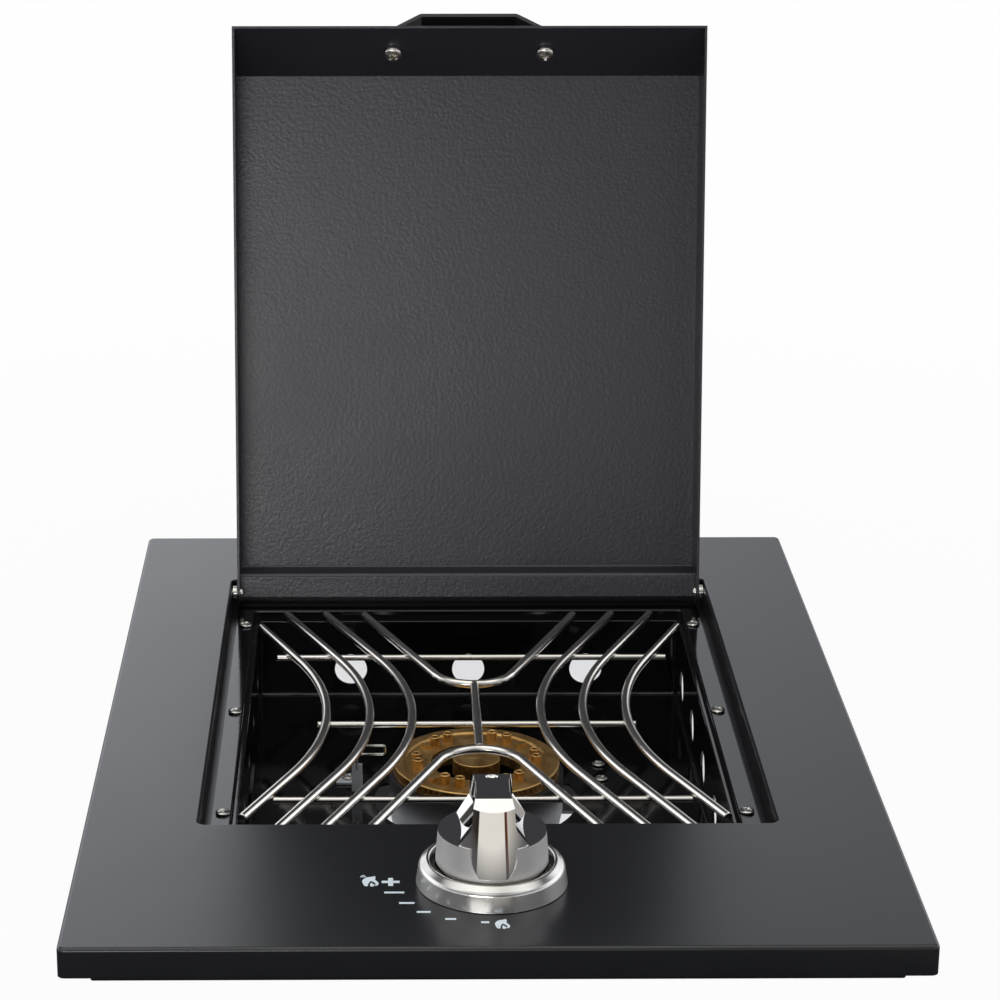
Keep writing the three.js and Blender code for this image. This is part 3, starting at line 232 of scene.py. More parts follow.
def satin_sides(material):
    """Makes the knob's skirt satin beside the polished grip, by place on the knob."""
    tree = material.node_tree
    shader = next(n for n in tree.nodes if n.type == "BSDF_PRINCIPLED")
    polished = shader.inputs["Roughness"].links[0].from_node
    where = add(tree, "ShaderNodeTexCoord")
    axis = -(TO_FRAME @ KNOB_AT)
    centred = add(tree, "ShaderNodeMapping", {"Location": (axis.x, axis.y, 0)},
                  {"Vector": (where, "Object")})
    parts = add(tree, "ShaderNodeSeparateXYZ", {}, {"Vector": (centred, "Vector")})
    level = add(tree, "ShaderNodeMapping", {"Scale": (1, 1, 0)},
                {"Vector": (centred, "Vector")})
    out = add(tree, "ShaderNodeVectorMath", {"operation": "LENGTH"},
              {"Vector": (level, "Vector")})
    lean = add(tree, "ShaderNodeMath", {"operation": "MULTIPLY_ADD", 1: SATIN["slope"]},
               {0: (parts, "Z"), 2: (out, "Value")})
    proud = add(tree, "ShaderNodeMapRange",
                {"From Min": SATIN["start"], "From Max": SATIN["full"]},
                {"Value": (lean, "Value")})
    under = add(tree, "ShaderNodeMapRange",
                {"From Min": SATIN["under"], "From Max": SATIN["over"], "To Min": 1.0,
                 "To Max": 0.0}, {"Value": (parts, "Z")})
    both = add(tree, "ShaderNodeMath", {"operation": "MULTIPLY"},
               {0: (proud, "Result"), 1: (under, "Result")})
    rough = add(tree, "ShaderNodeMapRange",
                {"To Min": SATIN["polished"], "To Max": SATIN["satin"]},
                {"Value": (both, "Value")})
    tree.nodes.remove(polished)
    tree.links.new(rough.outputs["Result"], shader.inputs["Roughness"])


satin_sides(FINISH["chrome"])


# Shapes

def arc(centre, radius, start, end, steps):
    """Points on an arc, angles in degrees, both ends kept."""
    angles = [math.radians(start + (end - start) * k / steps) for k in range(steps + 1)]
    return [Vector((centre[0] + radius * math.cos(a), centre[1] + radius * math.sin(a)))
            for a in angles]


def rounded(corners, radius, steps=8):
    """A path with its inner corners rounded."""
    path = [corners[0].copy()]
    for before, here, after in zip(corners, corners[1:], corners[2:]):
        back, ahead = (before - here).normalized(), (after - here).normalized()
        half = math.acos(max(-1, min(1, back.dot(ahead)))) / 2
        centre = here + (back + ahead).normalized() * (radius / math.sin(half))
        start = here + back * (radius / math.tan(half)) - centre
        end = here + ahead * (radius / math.tan(half)) - centre
        sweep = math.pi - 2 * half
        for k in range(steps + 1):
            t = k / steps
            path.append(centre + (start * math.sin((1 - t) * sweep)
                                  + end * math.sin(t * sweep)) / math.sin(sweep))
    path.append(corners[-1].copy())
    return path


def offset(path, distance):
    """The path moved to its left by distance, with mitred corners."""
    moved = []
    for i, point in enumerate(path):
        arrive = (point - path[i - 1]).normalized() if i else None
        leave = (path[i + 1] - point).normalized() if i < len(path) - 1 else None
        a, b = arrive or leave, leave or arrive
        normal = Vector((-(a.y + b.y), a.x + b.x)).normalized()
        moved.append(point + normal * (distance / math.sqrt((1 + a.dot(b)) / 2)))
    return moved


def box_ring(half_x, half_y, radius, z, mid_y=0, steps=6):
    """Points round a rounded rectangle at one height."""
    points = []
    for quarter, (sx, sy) in enumerate(SIGNS):
        centre = (sx * (half_x - radius), sy * (half_y - radius) + mid_y)
        points += [Vector((p.x, p.y, z))
                   for p in arc(centre, radius, 90 * quarter, 90 * quarter + 90, steps)]
    return points


def skin(rings, closed=False):
    """A mesh through rings of equally many points, closed on itself or capped."""
    count = len(rings[0])
    faces = []
    bands = len(rings) if closed else len(rings) - 1
    for band in range(bands):
        here, there = band * count, ((band + 1) % len(rings)) * count
        for i in range(count):
            j = (i + 1) % count
            faces.append((here + i, here + j, there + j, there + i))
    if not closed:
        last = (len(rings) - 1) * count
        faces.append(tuple(reversed(range(count))))
        faces.append(tuple(range(last, last + count)))
    return mesh_of([p for ring in rings for p in ring], faces)


def mesh_of(points, faces):
    """A clean mesh with doubles merged and its normals facing out."""
    mesh = bpy.data.meshes.new("shape")
    mesh.from_pydata([tuple(p) for p in points], [], faces)
    bm = bmesh.new()
    bm.from_mesh(mesh)
    bmesh.ops.remove_doubles(bm, verts=bm.verts, dist=0.0005)
    bmesh.ops.dissolve_degenerate(bm, dist=0.0005, edges=bm.edges)
    bmesh.ops.recalc_face_normals(bm, faces=bm.faces)
    bm.to_mesh(mesh)
    bm.free()
    return mesh


def lathe(profile, segments=96):
    """A closed profile of (radius, height) pairs turned about z."""
    rings = []
    for k in range(segments):
        a = 2 * math.pi * k / segments
        rings.append([Vector((r * math.cos(a), r * math.sin(a), z)) for r, z in profile])
    return skin(rings, closed=True)


def prism(outline, low, high, axis="z"):
    """A flat outline pushed along an axis; for x it is drawn in y and z, for y in x and z."""
    turn = {"z": lambda p, t: Vector((p[0], p[1], t)),
            "x": lambda p, t: Vector((t, p[0], p[1])),
            "y": lambda p, t: Vector((p[0], t, p[1]))}[axis]
    return skin([[turn(p, low) for p in outline], [turn(p, high) for p in outline]])


def circle(u, v, radius, sides=32):
    return arc((u, v), radius, 0, 360 - 360 / sides, sides - 1)


def bar(x, y, width, height):
    return [(x + sx * width / 2, y + sy * height / 2) for sx, sy in SIGNS]


def tube(path, radius, sides=20, chamfer=0.3):
    """A round rod along a path in space, its ends a little broken."""
    tangents = []
    for i in range(len(path)):
        ahead = path[min(i + 1, len(path) - 1)] - path[max(i - 1, 0)]
        tangents.append(ahead.normalized())
    side = tangents[0].orthogonal().normalized()
    rings = []
    for i, (point, along) in enumerate(zip(path, tangents)):
        side = (side - along * side.dot(along)).normalized()
        other = along.cross(side)
        sizes = [(0, radius)]
        if i == 0:
            sizes = [(0, radius - chamfer), (chamfer, radius)]
        if i == len(path) - 1:
            sizes = [(-chamfer, radius), (0, radius - chamfer)]
        for shift, size in sizes:
            rings.append([point + along * shift
                          + (side * math.cos(a) + other * math.sin(a)) * size
                          for a in (2 * math.pi * k / sides for k in range(sides))])
    return skin(rings)


def joined(meshes):
    """Several meshes as one, each left as it is."""
    bm = bmesh.new()
    for mesh in meshes:
        bm.from_mesh(mesh)
    result = bpy.data.meshes.new("joined")
    bm.to_mesh(result)
    bm.free()
    return result


def round_profile(angles):
    return [(math.cos(math.radians(a)), math.sin(math.radians(a))) for a in angles]


def placed(mesh, matrix):
    copy = mesh.copy()
    copy.transform(matrix)
    return copy


def linked(name, data):
    """A new object in the scene."""
    item = bpy.data.objects.new(name, data)
    bpy.context.scene.collection.objects.link(item)
    return item


def worked(mesh, kind, **settings):
    """The mesh after one modifier, worked out at once."""
    holder = linked("holder", mesh)
    modifier = holder.modifiers.new("step", kind)
    tool = settings.pop("tool", None)
    if tool is not None:
        cutter = linked("cutter", tool)
        modifier.object = cutter
    for name, value in settings.items():
        setattr(modifier, name, value)
    graph = bpy.context.evaluated_depsgraph_get()
    result = bpy.data.meshes.new_from_object(holder.evaluated_get(graph), depsgraph=graph)
    bpy.data.objects.remove(holder)
    if tool is not None:
        bpy.data.objects.remove(cutter)
    return result


def cut(mesh, tools):
    return worked(mesh, "BOOLEAN", tool=joined(tools), operation="DIFFERENCE",
                  solver="EXACT")


def softened(mesh, width, segments=2, degrees=30):
    """Edges sharper than some angle rounded over."""
    return worked(mesh, "BEVEL", width=width, segments=segments, limit_method="ANGLE",
                  angle_limit=math.radians(degrees), use_clamp_overlap=True)


def piece(name, mesh, finish, body, nodes=(), sharp=35):
    """Puts a mesh in the row frame, shades it, ties it to its body and hides the CAD nodes it
    stands in for.
    """
    mesh = placed(mesh, TO_FRAME)
    mesh.materials.clear()
    mesh.materials.append(FINISH[finish])
    mesh.shade_smooth()
    mesh.set_sharp_from_angle(angle=math.radians(sharp))
    item = linked(name, mesh)
    item.modifiers.new("normals", "WEIGHTED_NORMAL").keep_sharp = True
    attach(item, body)
    if nodes:
        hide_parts(*nodes)


# Cooktop plate: one folded sheet, from its return lip over the skirt and the top down the
# opening's flange to the inward lip that carries the tray

def plate_mesh():
    p, o = PLATE, OPENING
    bend, sheet, low = p["bend"], p["sheet"], -p["drop"]
    inner_bend = bend - sheet

    def outer(inset, z):
        radius = max(p["corner"] - inset, 0.75)
        return box_ring(p["half_x"] - inset, p["depth"] / 2 - inset, radius, z,
                        p["depth"] / 2)

    def inner(outset, z):
        radius = max(o["corner"] + outset, 0.75)
        return box_ring(o["half_x"] + outset, o["half_y"] + outset, radius, z, o["mid_y"])

    def fold(ring, z, radius, start, end, steps):
        return [ring(a.x, a.y) for a in arc((bend, z), radius, start, end, steps)]

    shelf = TRAY["ledge"] - TRAY["sheet"] - FIT
    shelf_reach = o["half_x"] - TRAY["ledge_x"] - TRAY["sheet"] - 0.5
    rings = [outer(p["lip"], low)]
    rings += fold(outer, low + bend, bend, 270, 180, 5)
    rings += fold(outer, -bend, bend, 180, 90, 5)
    rings += fold(inner, -bend, bend, 90, 180, 5)
    rings += [inner(0, shelf), inner(-shelf_reach, shelf)]
    rings += [inner(-shelf_reach, shelf - sheet), inner(sheet, shelf - sheet)]
    rings += fold(inner, -bend, inner_bend, 180, 90, 3)
    rings += fold(outer, -bend, inner_bend, 90, 180, 3)
    rings += fold(outer, low + bend, inner_bend, 180, 270, 3)
    rings += [outer(p["lip"], low + sheet)]
    body = skin(rings, closed=True)
    far, mitre = p["lip"] + OVER, p["mitre"]
    notch = [(-OVER, -OVER), (mitre - OVER, -OVER), (mitre + far, far), (far, mitre + far),
             (-OVER, mitre - OVER)]
    tools = []
    for side, back in [(-1, 0), (1, 0), (-1, 1), (1, 1)]:
        outline = [(side * (p["half_x"] - u), p["depth"] - v if back else v)
                   for u, v in notch]
        tools.append(prism(outline, low - OVER, -p["skirt"]))
    # Holes of the stem, the valve's screws, the hinge pins and the tray's screws
    tools.append(prism(circle(KNOB_AT.x, KNOB_AT.y, STEM_HOLE), -OVER, OVER))
    tools += [prism(circle(KNOB_AT.x + side * VALVE_SCREW_X, KNOB_AT.y, CLEAR), -OVER, OVER)
              for side in (-1, 1)]
    tools += [prism(circle(LID["pin_y"], LID["pin_z"], CLEAR, 20), side * 118, side * 128,
                    "x") for side in (-1, 1)]
    tools += [prism(circle(x, y, CLEAR, 20), shelf - 4, shelf + 0.25)
              for x, y in TRAY_SCREWS]
    return cut(body, tools)


# Burner tray: a ledge, a small step and a deep well with round vents

def tray_mesh():
    t = TRAY
    sheet, bend = t["sheet"], t["bend"]
    edge_x, edge_y = OPENING["half_x"] - t["edge_gap"], OPENING["half_y"] - t["edge_gap"]

    def ring(half_x, half_y, z, radius=t["corner"]):
        return box_ring(half_x, half_y, radius, z, OPENING["mid_y"])

    def fold(half_x, half_y, z, radius, start, end):
        """Rings round a fold whose centre is inside the wall line."""
        return [ring(half_x + a.x, half_y + a.x, z + a.y)
                for a in arc((0, 0), radius, start, end, 4)]

    wall_x, wall_y, floor = t["wall_x"], t["wall_y"], t["floor"]
    rings = fold(wall_x + sheet - bend, wall_y + sheet - bend, floor - sheet + bend, bend,
                 270, 360)
    rings += [ring(wall_x + sheet, wall_y + sheet, t["shelf"] - sheet),
              ring(t["ledge_x"] + sheet, t["ledge_y"] + sheet, t["shelf"] - sheet),
              ring(t["ledge_x"] + sheet, t["ledge_y"] + sheet, t["ledge"] - sheet),
              ring(edge_x, edge_y, t["ledge"] - sheet), ring(edge_x, edge_y, t["ledge"])]
    rings += fold(t["ledge_x"] + 0.8, t["ledge_y"] + 0.8, t["ledge"] - 0.8, 0.8, 90, 180)
    rings += [ring(t["ledge_x"], t["ledge_y"], t["shelf"])]
    rings += fold(wall_x + 0.6, wall_y + 0.6, t["shelf"] - 0.6, 0.6, 90, 180)
    rings += fold(wall_x - bend, wall_y - bend, floor + bend, bend, 360, 270)
    body = skin(rings)
    # The opening round the burner: wide in front, closer to the cup behind
    wide, close, behind = 48.2, 43.2, BURNER_Y + 17.5
    around = ([p for p in circle(0, BURNER_Y, wide, 96) if p.y < behind]
              + [p for p in circle(0, BURNER_Y, close, 96) if p.y >= behind])
    around.sort(key=lambda p: math.atan2(p.y - BURNER_Y, p.x))
    tools = [prism(around, floor - OVER, floor + OVER)]
    # Round vents, three behind and five on each side
    pitch, z = t["rear_vents"]
    for k in (-1, 0, 1):
        tools.append(prism(circle(k * pitch, z, t["vent"], 48),
                           BURNER_Y + wall_y - OVER, BURNER_Y + wall_y + OVER, "y"))
    pitch, z = t["side_vents"]
    for k in range(-2, 3):
        for side in (-1, 1):
            tools.append(prism(circle(BURNER_Y + k * pitch, z, t["vent"], 48),
                               side * (wall_x - OVER), side * (wall_x + OVER), "x"))
    tools += [prism(circle(x, y, CLEAR, 20), floor - OVER, floor + OVER)
              for x, y in STRAP_SCREWS]
    tools += [prism(circle(x, y, CLEAR, 20), t["ledge"] - 1.15, t["ledge"] + OVER)
              for x, y in TRAY_SCREWS]
    return cut(body, tools)


# Pan-head screw with a cross recess, its seat at z = 0

def screw_mesh(shaft, head, height, length):
    profile = [(0, height), (head * 0.3, height * 0.98), (head * 0.6, height * 0.9),
               (head * 0.85, height * 0.74), (head * 0.97, height * 0.55),
               (head, height * 0.35), (head, 0), (shaft, 0), (shaft, -length),
               (0, -length)]
    scale = head / 3.3
    slots = []
    for turn in (0, 90):
        outline = bar(0, 0, 4.2 * scale, scale)
        floor = [Vector((u * 0.55, v * 0.9, height - 1.3 * scale)) for u, v in outline]
        mouth = [Vector((u, v, height + 0.4)) for u, v in outline]
        slots.append(placed(skin([floor, mouth]),
                            Matrix.Rotation(math.radians(turn + 45), 4, "Z")))
    head_mesh = cut(lathe(profile, 40), slots[:1])
    return softened(cut(head_mesh, slots[1:]), 0.08, 1, 40)


def add_screws():
    """Screws of the tray and the strap, each turned by chance, and of the handle."""
    small = screw_mesh(1.75, 3.2, 1.4, 8)
    rows = ["front", "middle", "rear"]
    spots = [(f"tray_screw_{'left' if x < 0 else 'right'}_{rows[i % 3]}",
              Vector((x, y, TRAY["ledge"] + FIT))) for i, (x, y) in enumerate(TRAY_SCREWS)]
    for i, (x, y) in enumerate(STRAP_SCREWS):
        lift = 1.3 if i == 0 else 0  # the left front one clamps the igniter's foot
        name = f"strap_screw_{'left' if x < 0 else 'right'}_{['front', 'rear'][i % 2]}"
        spots.append((name, Vector((x, y, TRAY["floor"] + FIT + lift))))
    for node, spot in spots:
        turn = Matrix.Rotation(random.uniform(0, math.pi), 4, "Z")
        piece(node + "_head", placed(small, Matrix.Translation(spot) @ turn), "plated",
              "cooktop", [node])
    large = screw_mesh(2.5, 4.75, 3, 4)
    flip = Matrix.Rotation(math.pi, 4, "X")
    for side, name in SIDES:
        spot = Matrix.Translation((side * HANDLE["screw"], 0, -LID["sheet"] - FIT))
        turn = Matrix.Rotation(0.5 + 0.4 * side, 4, "Z")
        piece(f"handle_screw_{name}_head", placed(large, FACE @ spot @ flip @ turn),
              "stainless", "lid_leaf", [f"handle_screw_{name}"])


# Lid: a folded pan, standing open

def lid_path():
    d = LID
    half = d["sheet"] / 2
    return rounded([
        Vector((half - d["reach"], -d["rim"])),
        Vector((half - d["reach"], d["top"] - d["bevel"])),
        Vector((d["bevel"] - d["reach"], d["top"] - half)),
        Vector((-d["step"] - half, d["top"] - half)),
        Vector((-d["step"] - half, d["lip_top"] - half)),
        Vector((d["lip_back"], d["lip_top"] - half))], 2)


def fold_sides(mesh, half_x, radius):
    """Rounds the folds between the pan's faces and its side flanges."""
    bm = bmesh.new()
    bm.from_mesh(mesh)
    folds = []
    for edge in bm.edges:
        on_side = all(abs(abs(v.co.x) - half_x) < 1e-4 for v in edge.verts)
        low = all(v.co.z < -LID["rim"] + 0.01 for v in edge.verts)
        near_pin = all(v.co.y > -LID["step"] + 1 for v in edge.verts)
        if on_side and not low and not near_pin and len(edge.link_faces) == 2:
            folds.append(edge)
    bmesh.ops.bevel(bm, geom=folds, offset=radius, segments=5, affect="EDGES",
                    clamp_overlap=True)
    bm.to_mesh(mesh)
    bm.free()
    return mesh


def lid_mesh():
    d = LID
    half = d["sheet"] / 2
    path = lid_path()
    outside, inside = offset(path, half), offset(path, -half)
    start = math.degrees(math.atan2(d["lip_top"] - half, d["lip_back"]))
    ear = arc((0, 0), d["ear"], start, -90, 12)
    shell = fold_sides(prism(outside + ear, -d["half_x"], d["half_x"], "x"),
                       d["half_x"], 1.6)
    room = inside[:-1] + [Vector((12, inside[-1].y)), Vector((12, -20)),
                          Vector((inside[0].x, -20))]
    hollow = fold_sides(prism(room, -d["half_x"] + d["sheet"], d["half_x"] - d["sheet"],
                              "x"), d["half_x"] - d["sheet"], 0.8)
    pins = [prism(circle(0, 0, CLEAR, 24), side * 112, side * 125, "x") for side in (-1, 1)]
    local = LEAF.inverted() @ FACE
    holes = [placed(prism(circle(side * HANDLE["screw"], 0, HANDLE["hole"], 24), -5, 3),
                    local) for side in (-1, 1)]
    body = cut(cut(shell, [hollow]), pins + holes)
    return placed(softened(body, 0.18, 2, 50), LEAF)


def handle_mesh():
    h = HANDLE
    foot, bar = FIT + h["sheet"] / 2, h["stand_off"] - h["sheet"] / 2
    corners = [Vector(p) for p in [(-h["tab"], foot), (-h["foot"], foot),
                                   (-h["bar"], bar), (h["bar"], bar), (h["foot"], foot),
                                   (h["tab"], foot)]]
    path = rounded(corners, 2.4)
    outline = offset(path, h["sheet"] / 2) + offset(path, -h["sheet"] / 2)[::-1]
    body = prism(outline, -h["half_y"], h["half_y"], "y")
    holes = [prism(circle(side * h["screw"], 0, h["hole"], 24), 0, foot + 2)
             for side in (-1, 1)]
    return placed(softened(cut(body, holes), 0.3, 3), FACE)


def add_hinges():
    inner = LID["half_x"] - LID["sheet"] - FIT
    tail = OPENING["half_x"] + PLATE["sheet"] + FIT
    pin = [(0, inner - 1.7), (1.3, inner - 1.6), (2.1, inner - 1.1), (2.5, inner - 0.5),
           (2.6, inner), (1.75, inner), (1.75, tail), (2.34, tail), (1.9, tail + 0.8),
           (1.0, tail + 1.15), (0, tail + 1.2)]
    washer = [(CLEAR, LID["half_x"] + FIT), (3.5, LID["half_x"] + FIT),
              (3.5, OPENING["half_x"] - FIT), (CLEAR, OPENING["half_x"] - FIT)]
    for side, name in SIDES:
        at = (Matrix.Translation((0, LID["pin_y"], LID["pin_z"]))
              @ Matrix.Rotation(side * math.pi / 2, 4, "Y"))
        piece(f"pin_{name}", placed(lathe(pin, 40), at), "stainless", "cooktop",
              [f"hinge_pin_{name}"])
        piece(f"washer_{name}", placed(softened(lathe(washer, 40), 0.12), at), "plated",
              "cooktop", [f"hinge_washer_{name}"])


# Pan support: bowed rods, a loop at each end, one middle rod and three cross rods

def bow_path(bulge, tip, side):
    turn, radius = math.radians(ROD["bow_turn"]), ROD["bow_radius"]
    end = radius * math.sin(turn)
    shoulder = bulge + radius * (1 - math.cos(turn))
    reach = shoulder + (tip - end) * math.tan(turn)
    points = [Vector((reach, -tip))]
    points += [Vector((bulge + radius * (1 - math.cos(a)), radius * math.sin(a)))
               for a in (turn * k / 14 for k in range(-14, 15))]
    points.append(Vector((reach, tip)))
    return [Vector((side * p.x, BURNER_Y + p.y, ROD["z"])) for p in points]


def loop_path(sign, crest):
    turn, radius = math.radians(ROD["loop_turn"]), ROD["loop_radius"]
    apex = crest + radius - radius / math.sin(turn)
    end = ROD["loop_tip"]
    tip = (end - apex) * math.tan(turn)
    corners = [Vector((-tip, sign * end)), Vector((0, sign * apex)), Vector((tip, sign * end))]
    return [Vector((p.x, BURNER_Y + p.y, ROD["z"])) for p in rounded(corners, radius, 28)]


def bead(at, size):
    """A small weld bead: a squashed, slightly uneven drop."""
    profile = [(max(r, 0), z) for r, z in round_profile(range(-90, 91, 18))]
    mesh = lathe(profile + [(0, 0)], 14)
    for v in mesh.vertices:
        v.co *= random.uniform(0.94, 1.08)
    spin = Matrix.Rotation(random.uniform(0, 3), 4, "Z")
    return placed(mesh, Matrix.Translation(at) @ spin @ Matrix.Diagonal((*size, 1)))


def crossing(path, y):
    """Where a rod's path passes over the line of a cross rod."""
    for a, b in zip(path, path[1:]):
        if (a.y - y) * (b.y - y) <= 0 and a.y != b.y:
            return a.lerp(b, (y - a.y) / (b.y - a.y))
    return None


def add_support():
    paths = [bow_path(bulge, tip, side) for bulge, tip in BOWS for side in (-1, 1)]
    loops = [loop_path(sign, crest) for sign, crest in LOOPS]
    halves = [loop[:len(loop) // 2] for loop in loops] + [loop[len(loop) // 2:]
                                                          for loop in loops]
    middle = [Vector((0, BURNER_Y + sign * crest, ROD["z"])) for sign, crest in LOOPS]
    low = ROD["z"] + ROD["weld"] - ROD["radius"] - ROD["cross"]
    parts = [tube(path, ROD["radius"], 24, 0.35) for path in paths + loops]
    parts.append(tube(middle, ROD["radius"], 24))
    beads = [bead((0, BURNER_Y + sign * (crest - 1.7), ROD["z"]), (2.5, 2.0, 2.2))
             for sign, crest in LOOPS]
    for y, half in CROSS_RODS:
        ends = [Vector((side * half, BURNER_Y + y, low)) for side in (-1, 1)]
        parts.append(tube(ends, ROD["cross"], 20, 0.25))
        for path in paths + halves + [middle]:
            spot = crossing(path, BURNER_Y + y)
            if spot is not None and abs(spot.x) < half:
                spot.z = ROD["z"] - ROD["radius"] + 0.2
                beads.append(bead(spot, (1.9, 1.9, 1.1)))
    piece("support_rods", joined(parts + beads), "stainless", "support", ["pan_support"])


# Burner

def ring_mesh():
    r = RING
    top, floor, low, spigot = r["top"], r["floor"], r["low"], r["spigot"]
    body = lathe([(r["inner"], floor), (33.2, floor), (33.7, top - 0.35), (34.1, top),
                  (38.8, top), (r["radius"], top - 0.5), (r["radius"], low), (spigot, low),
                  (spigot, low - 5), (36.5, low - 5), (36.5, low + 1.4),
                  (22.9, low + 1.4), (22.9, low - 5), (r["inner"], low - 5)], 144)
    teeth = []
    for k in range(r["teeth"]):
        slot = prism([(spigot, 0.75), (spigot, -0.75), (41, -0.75), (41, 0.75)], top - 3.9,
                     top - 1.1)
        turn = math.radians(360 / r["teeth"] * k + 2)
        teeth.append(placed(slot, Matrix.Rotation(turn, 4, "Z")))
    body = softened(cut(body, teeth), 0.15, 1, 40)
    boss = lathe([(1.3, floor + 1.5), (1.3, floor + 4.0), (1.6, floor + 4.3),
                  (2.1, floor + 4.3), (r["boss"], floor + 4.0), (r["boss"], floor - 0.4),
                  (0, floor - 0.4), (0, floor + 1.5)], 32)
    bosses = []
    for pair in range(6):
        for side in (-1, 1):
            a = math.radians(5 + 60 * pair + side * r["boss_apart"])
            spot = (r["boss_circle"] * math.cos(a), r["boss_circle"] * math.sin(a), 0)
            bosses.append(placed(boss, Matrix.Translation(spot)))
    tabs = []
    for x, y in [(-23.8, 17.6), (22.3, 18.6), (-20.3, -21.4)]:
        outline = box_ring(2.4, 1.5, 0.7, 0)
        lift = prism([(p.x, p.y) for p in outline], floor - 0.4, floor + 1.6)
        at = Matrix.Translation((x, y, 0)) @ Matrix.Rotation(math.atan2(y, x), 4, "Z")
        tabs.append(placed(softened(lift, 0.3), at))
    return joined([body] + bosses + tabs)


def cap_mesh():
    top, low, radius, spigot = CAP["top"], CAP["low"], CAP["radius"], CAP["spigot"]
    body = lathe([(0, top), (11.0, top - 0.05), (radius, top - 0.3), (radius, low),
                  (spigot, low), (spigot, low - 5), (5.4, low - 5), (5.4, low + 1.6),
                  (0, low + 1.6)], 96)
    ports = []
    for k in range(CAP["ports"]):
        port = prism(circle(0, top - 2.3, CAP["port"], 8), 9.4, 14, "x")
        turn = math.radians(360 * (k + 0.4) / CAP["ports"])
        ports.append(placed(port, Matrix.Rotation(turn, 4, "Z")))
    return softened(cut(body, ports), 0.08, 1, 40)


def cup_mesh():
    rim, low, floor = CUP["rim"], CUP["low"], CUP["floor"]
    inside, mouth, radius = CUP["inside"], CUP["mouth"], CUP["radius"]
    body = lathe([(7.3, floor), (7.3, -43.2), (9.6, -43.2), (9.6, floor), (inside, floor),
                  (inside, -65.4), (36.5, -65.4), (mouth, -60), (mouth, rim),
                  (radius, rim), (radius, -60), (39.5, -68.4), (36, -68.4), (36, floor),
                  (inside, low), (0, low), (0, floor)], 128)
    port = prism(circle(0, -72, 10.3, 40), -47, -15.6, "y")
    return softened(cut(body, [port]), 0.3, 2, 30)


def add_burner():
    at = Matrix.Translation((0, BURNER_Y, 0))
    piece("flame_ring_casting", placed(ring_mesh(), at), "burner_brass", "flame_ring",
          ["burner_ring"])
    piece("flame_cap_casting", placed(cap_mesh(), at), "burner_brass", "flame_cap",
          ["burner_cap"])
    piece("cup_casting", placed(cup_mesh(), at), "cup_iron", "cooktop", ["burner_cup"])


def add_igniter():
    """Upright strip under a strap screw, with its bent wire."""
    g = IGNITER
    half = g["sheet"] / 2
    screw_x, screw_y = STRAP_SCREWS[0]
    floor = TRAY["floor"] + FIT
    front = BURNER_Y + g["front"]
    path = rounded([Vector((screw_y + 4, floor + half)), Vector((front + half, floor + half)),
                    Vector((front + half, floor + g["height"]))], 1)
    outline = offset(path, half) + offset(path, -half)[::-1]
    strip = prism(outline, g["left"], g["right"], "x")
    foot = prism([(p.x + screw_x, p.y + screw_y)
                  for p in box_ring(g["foot"], g["foot"], 1, 0)], floor, floor + g["sheet"])
    bent = worked(strip, "BOOLEAN", tool=foot, operation="UNION", solver="EXACT")
    hole = prism(circle(screw_x, screw_y, CLEAR, 24), floor - 2, floor + 3)
    piece("igniter_strip", softened(cut(bent, [hole]), 0.15), "matt_zinc_painted_light", "cooktop",
          ["igniter_bracket"])
    y = front - FIT - 0.6
    corners = [Vector((x, y, floor + up))
               for x, up in [(-56.5, 12.5), (-56.5, 20.6), (-43.2, 20.6), (-43.2, 25),
                             (-54, 25)]]
    piece("igniter_wire", tube(rounded(corners, 1.2), 0.6, 14, 0.1), "stainless",
          "cooktop", ["igniter_electrode"])


# Knob and bezel

def hollow(side):
    """Cutter beside the grip: a bowed wall that flares out to a flat floor."""
    k = KNOB
    top, floor, high = k["top"], k["floor"], k["top"] + OVER
    bow = (k["chord"] ** 2 + k["sag"] ** 2) / (2 * k["sag"])
    widest = math.asin((k["chord"] + OVER) / bow)
    wall = [(0, top), (0.2, 35), (0.5, 30.2), (5.9, floor)]
    section = [(0, high)] + wall + [(k["bead"], floor), (k["bead"], high)]
    rings = []
    for step in range(41):
        a = (2 * step / 40 - 1) * widest
        rings.append([Vector((side * (k["waist"] + bow - (bow - out) * math.cos(a)),
                              (bow - out) * math.sin(a), z)) for out, z in section])
    return skin(rings)


def knob_mesh():
    k = KNOB
    top, skirt, bead, ceiling = k["top"], k["skirt"], k["bead"], k["ceiling"]
    foot, hub, bore = k["foot"], k["hub"], k["bore"]
    body = lathe([(0, top), (18.4, top), (20.9, 22.81), (21.8, k["floor"]),
                  (skirt, k["skirt_top"]), (skirt, 7.8), (bead, 6.6), (bead, foot),
                  (20.7, foot), (19.7, ceiling), (hub, ceiling), (hub, 6), (bore, 6),
                  (bore, 26), (0, 26)], 160)
    # The grip's ends run on down through the skirt as one straight taper
    taper = lathe([(0, TAPER[0][1])] + TAPER + [(TAPER[1][0], 10), (0, 10)], 160)
    shield = [(9.3, 23.4), (9.3, 18.5), (8.9, 16.5), (8.1, 14.3), (6.9, 12.3), (5.6, 10.8)]
    band = prism(shield + [(-u, v) for u, v in reversed(shield)], -30, 30, "y")
    body = cut(body, [cut(band, [taper])])
    # Flat facets at both ends of the top, cut one at a time like the hollows
    facets = [prism([(side * k["facet_in"], top), (side * k["facet_out"], k["facet_low"]),
                     (side * 30, 33), (side * 30, 50), (side * k["facet_in"], 50)],
                    -30, 30, "x") for side in (-1, 1)]
    for tool in facets + [hollow(-1), hollow(1)]:
        body = cut(body, [tool])
    ball = [(0, -1)] + round_profile(range(-75, 90, 15)) + [(0, 1)]
    dimple = placed(lathe(ball, 40),
                    Matrix.Translation((0, 9.6, 41.7)) @ Matrix.Diagonal((2.6, 1.9, 1.5, 1)))
    return softened(cut(body, [dimple]), 0.4, 3, 28)


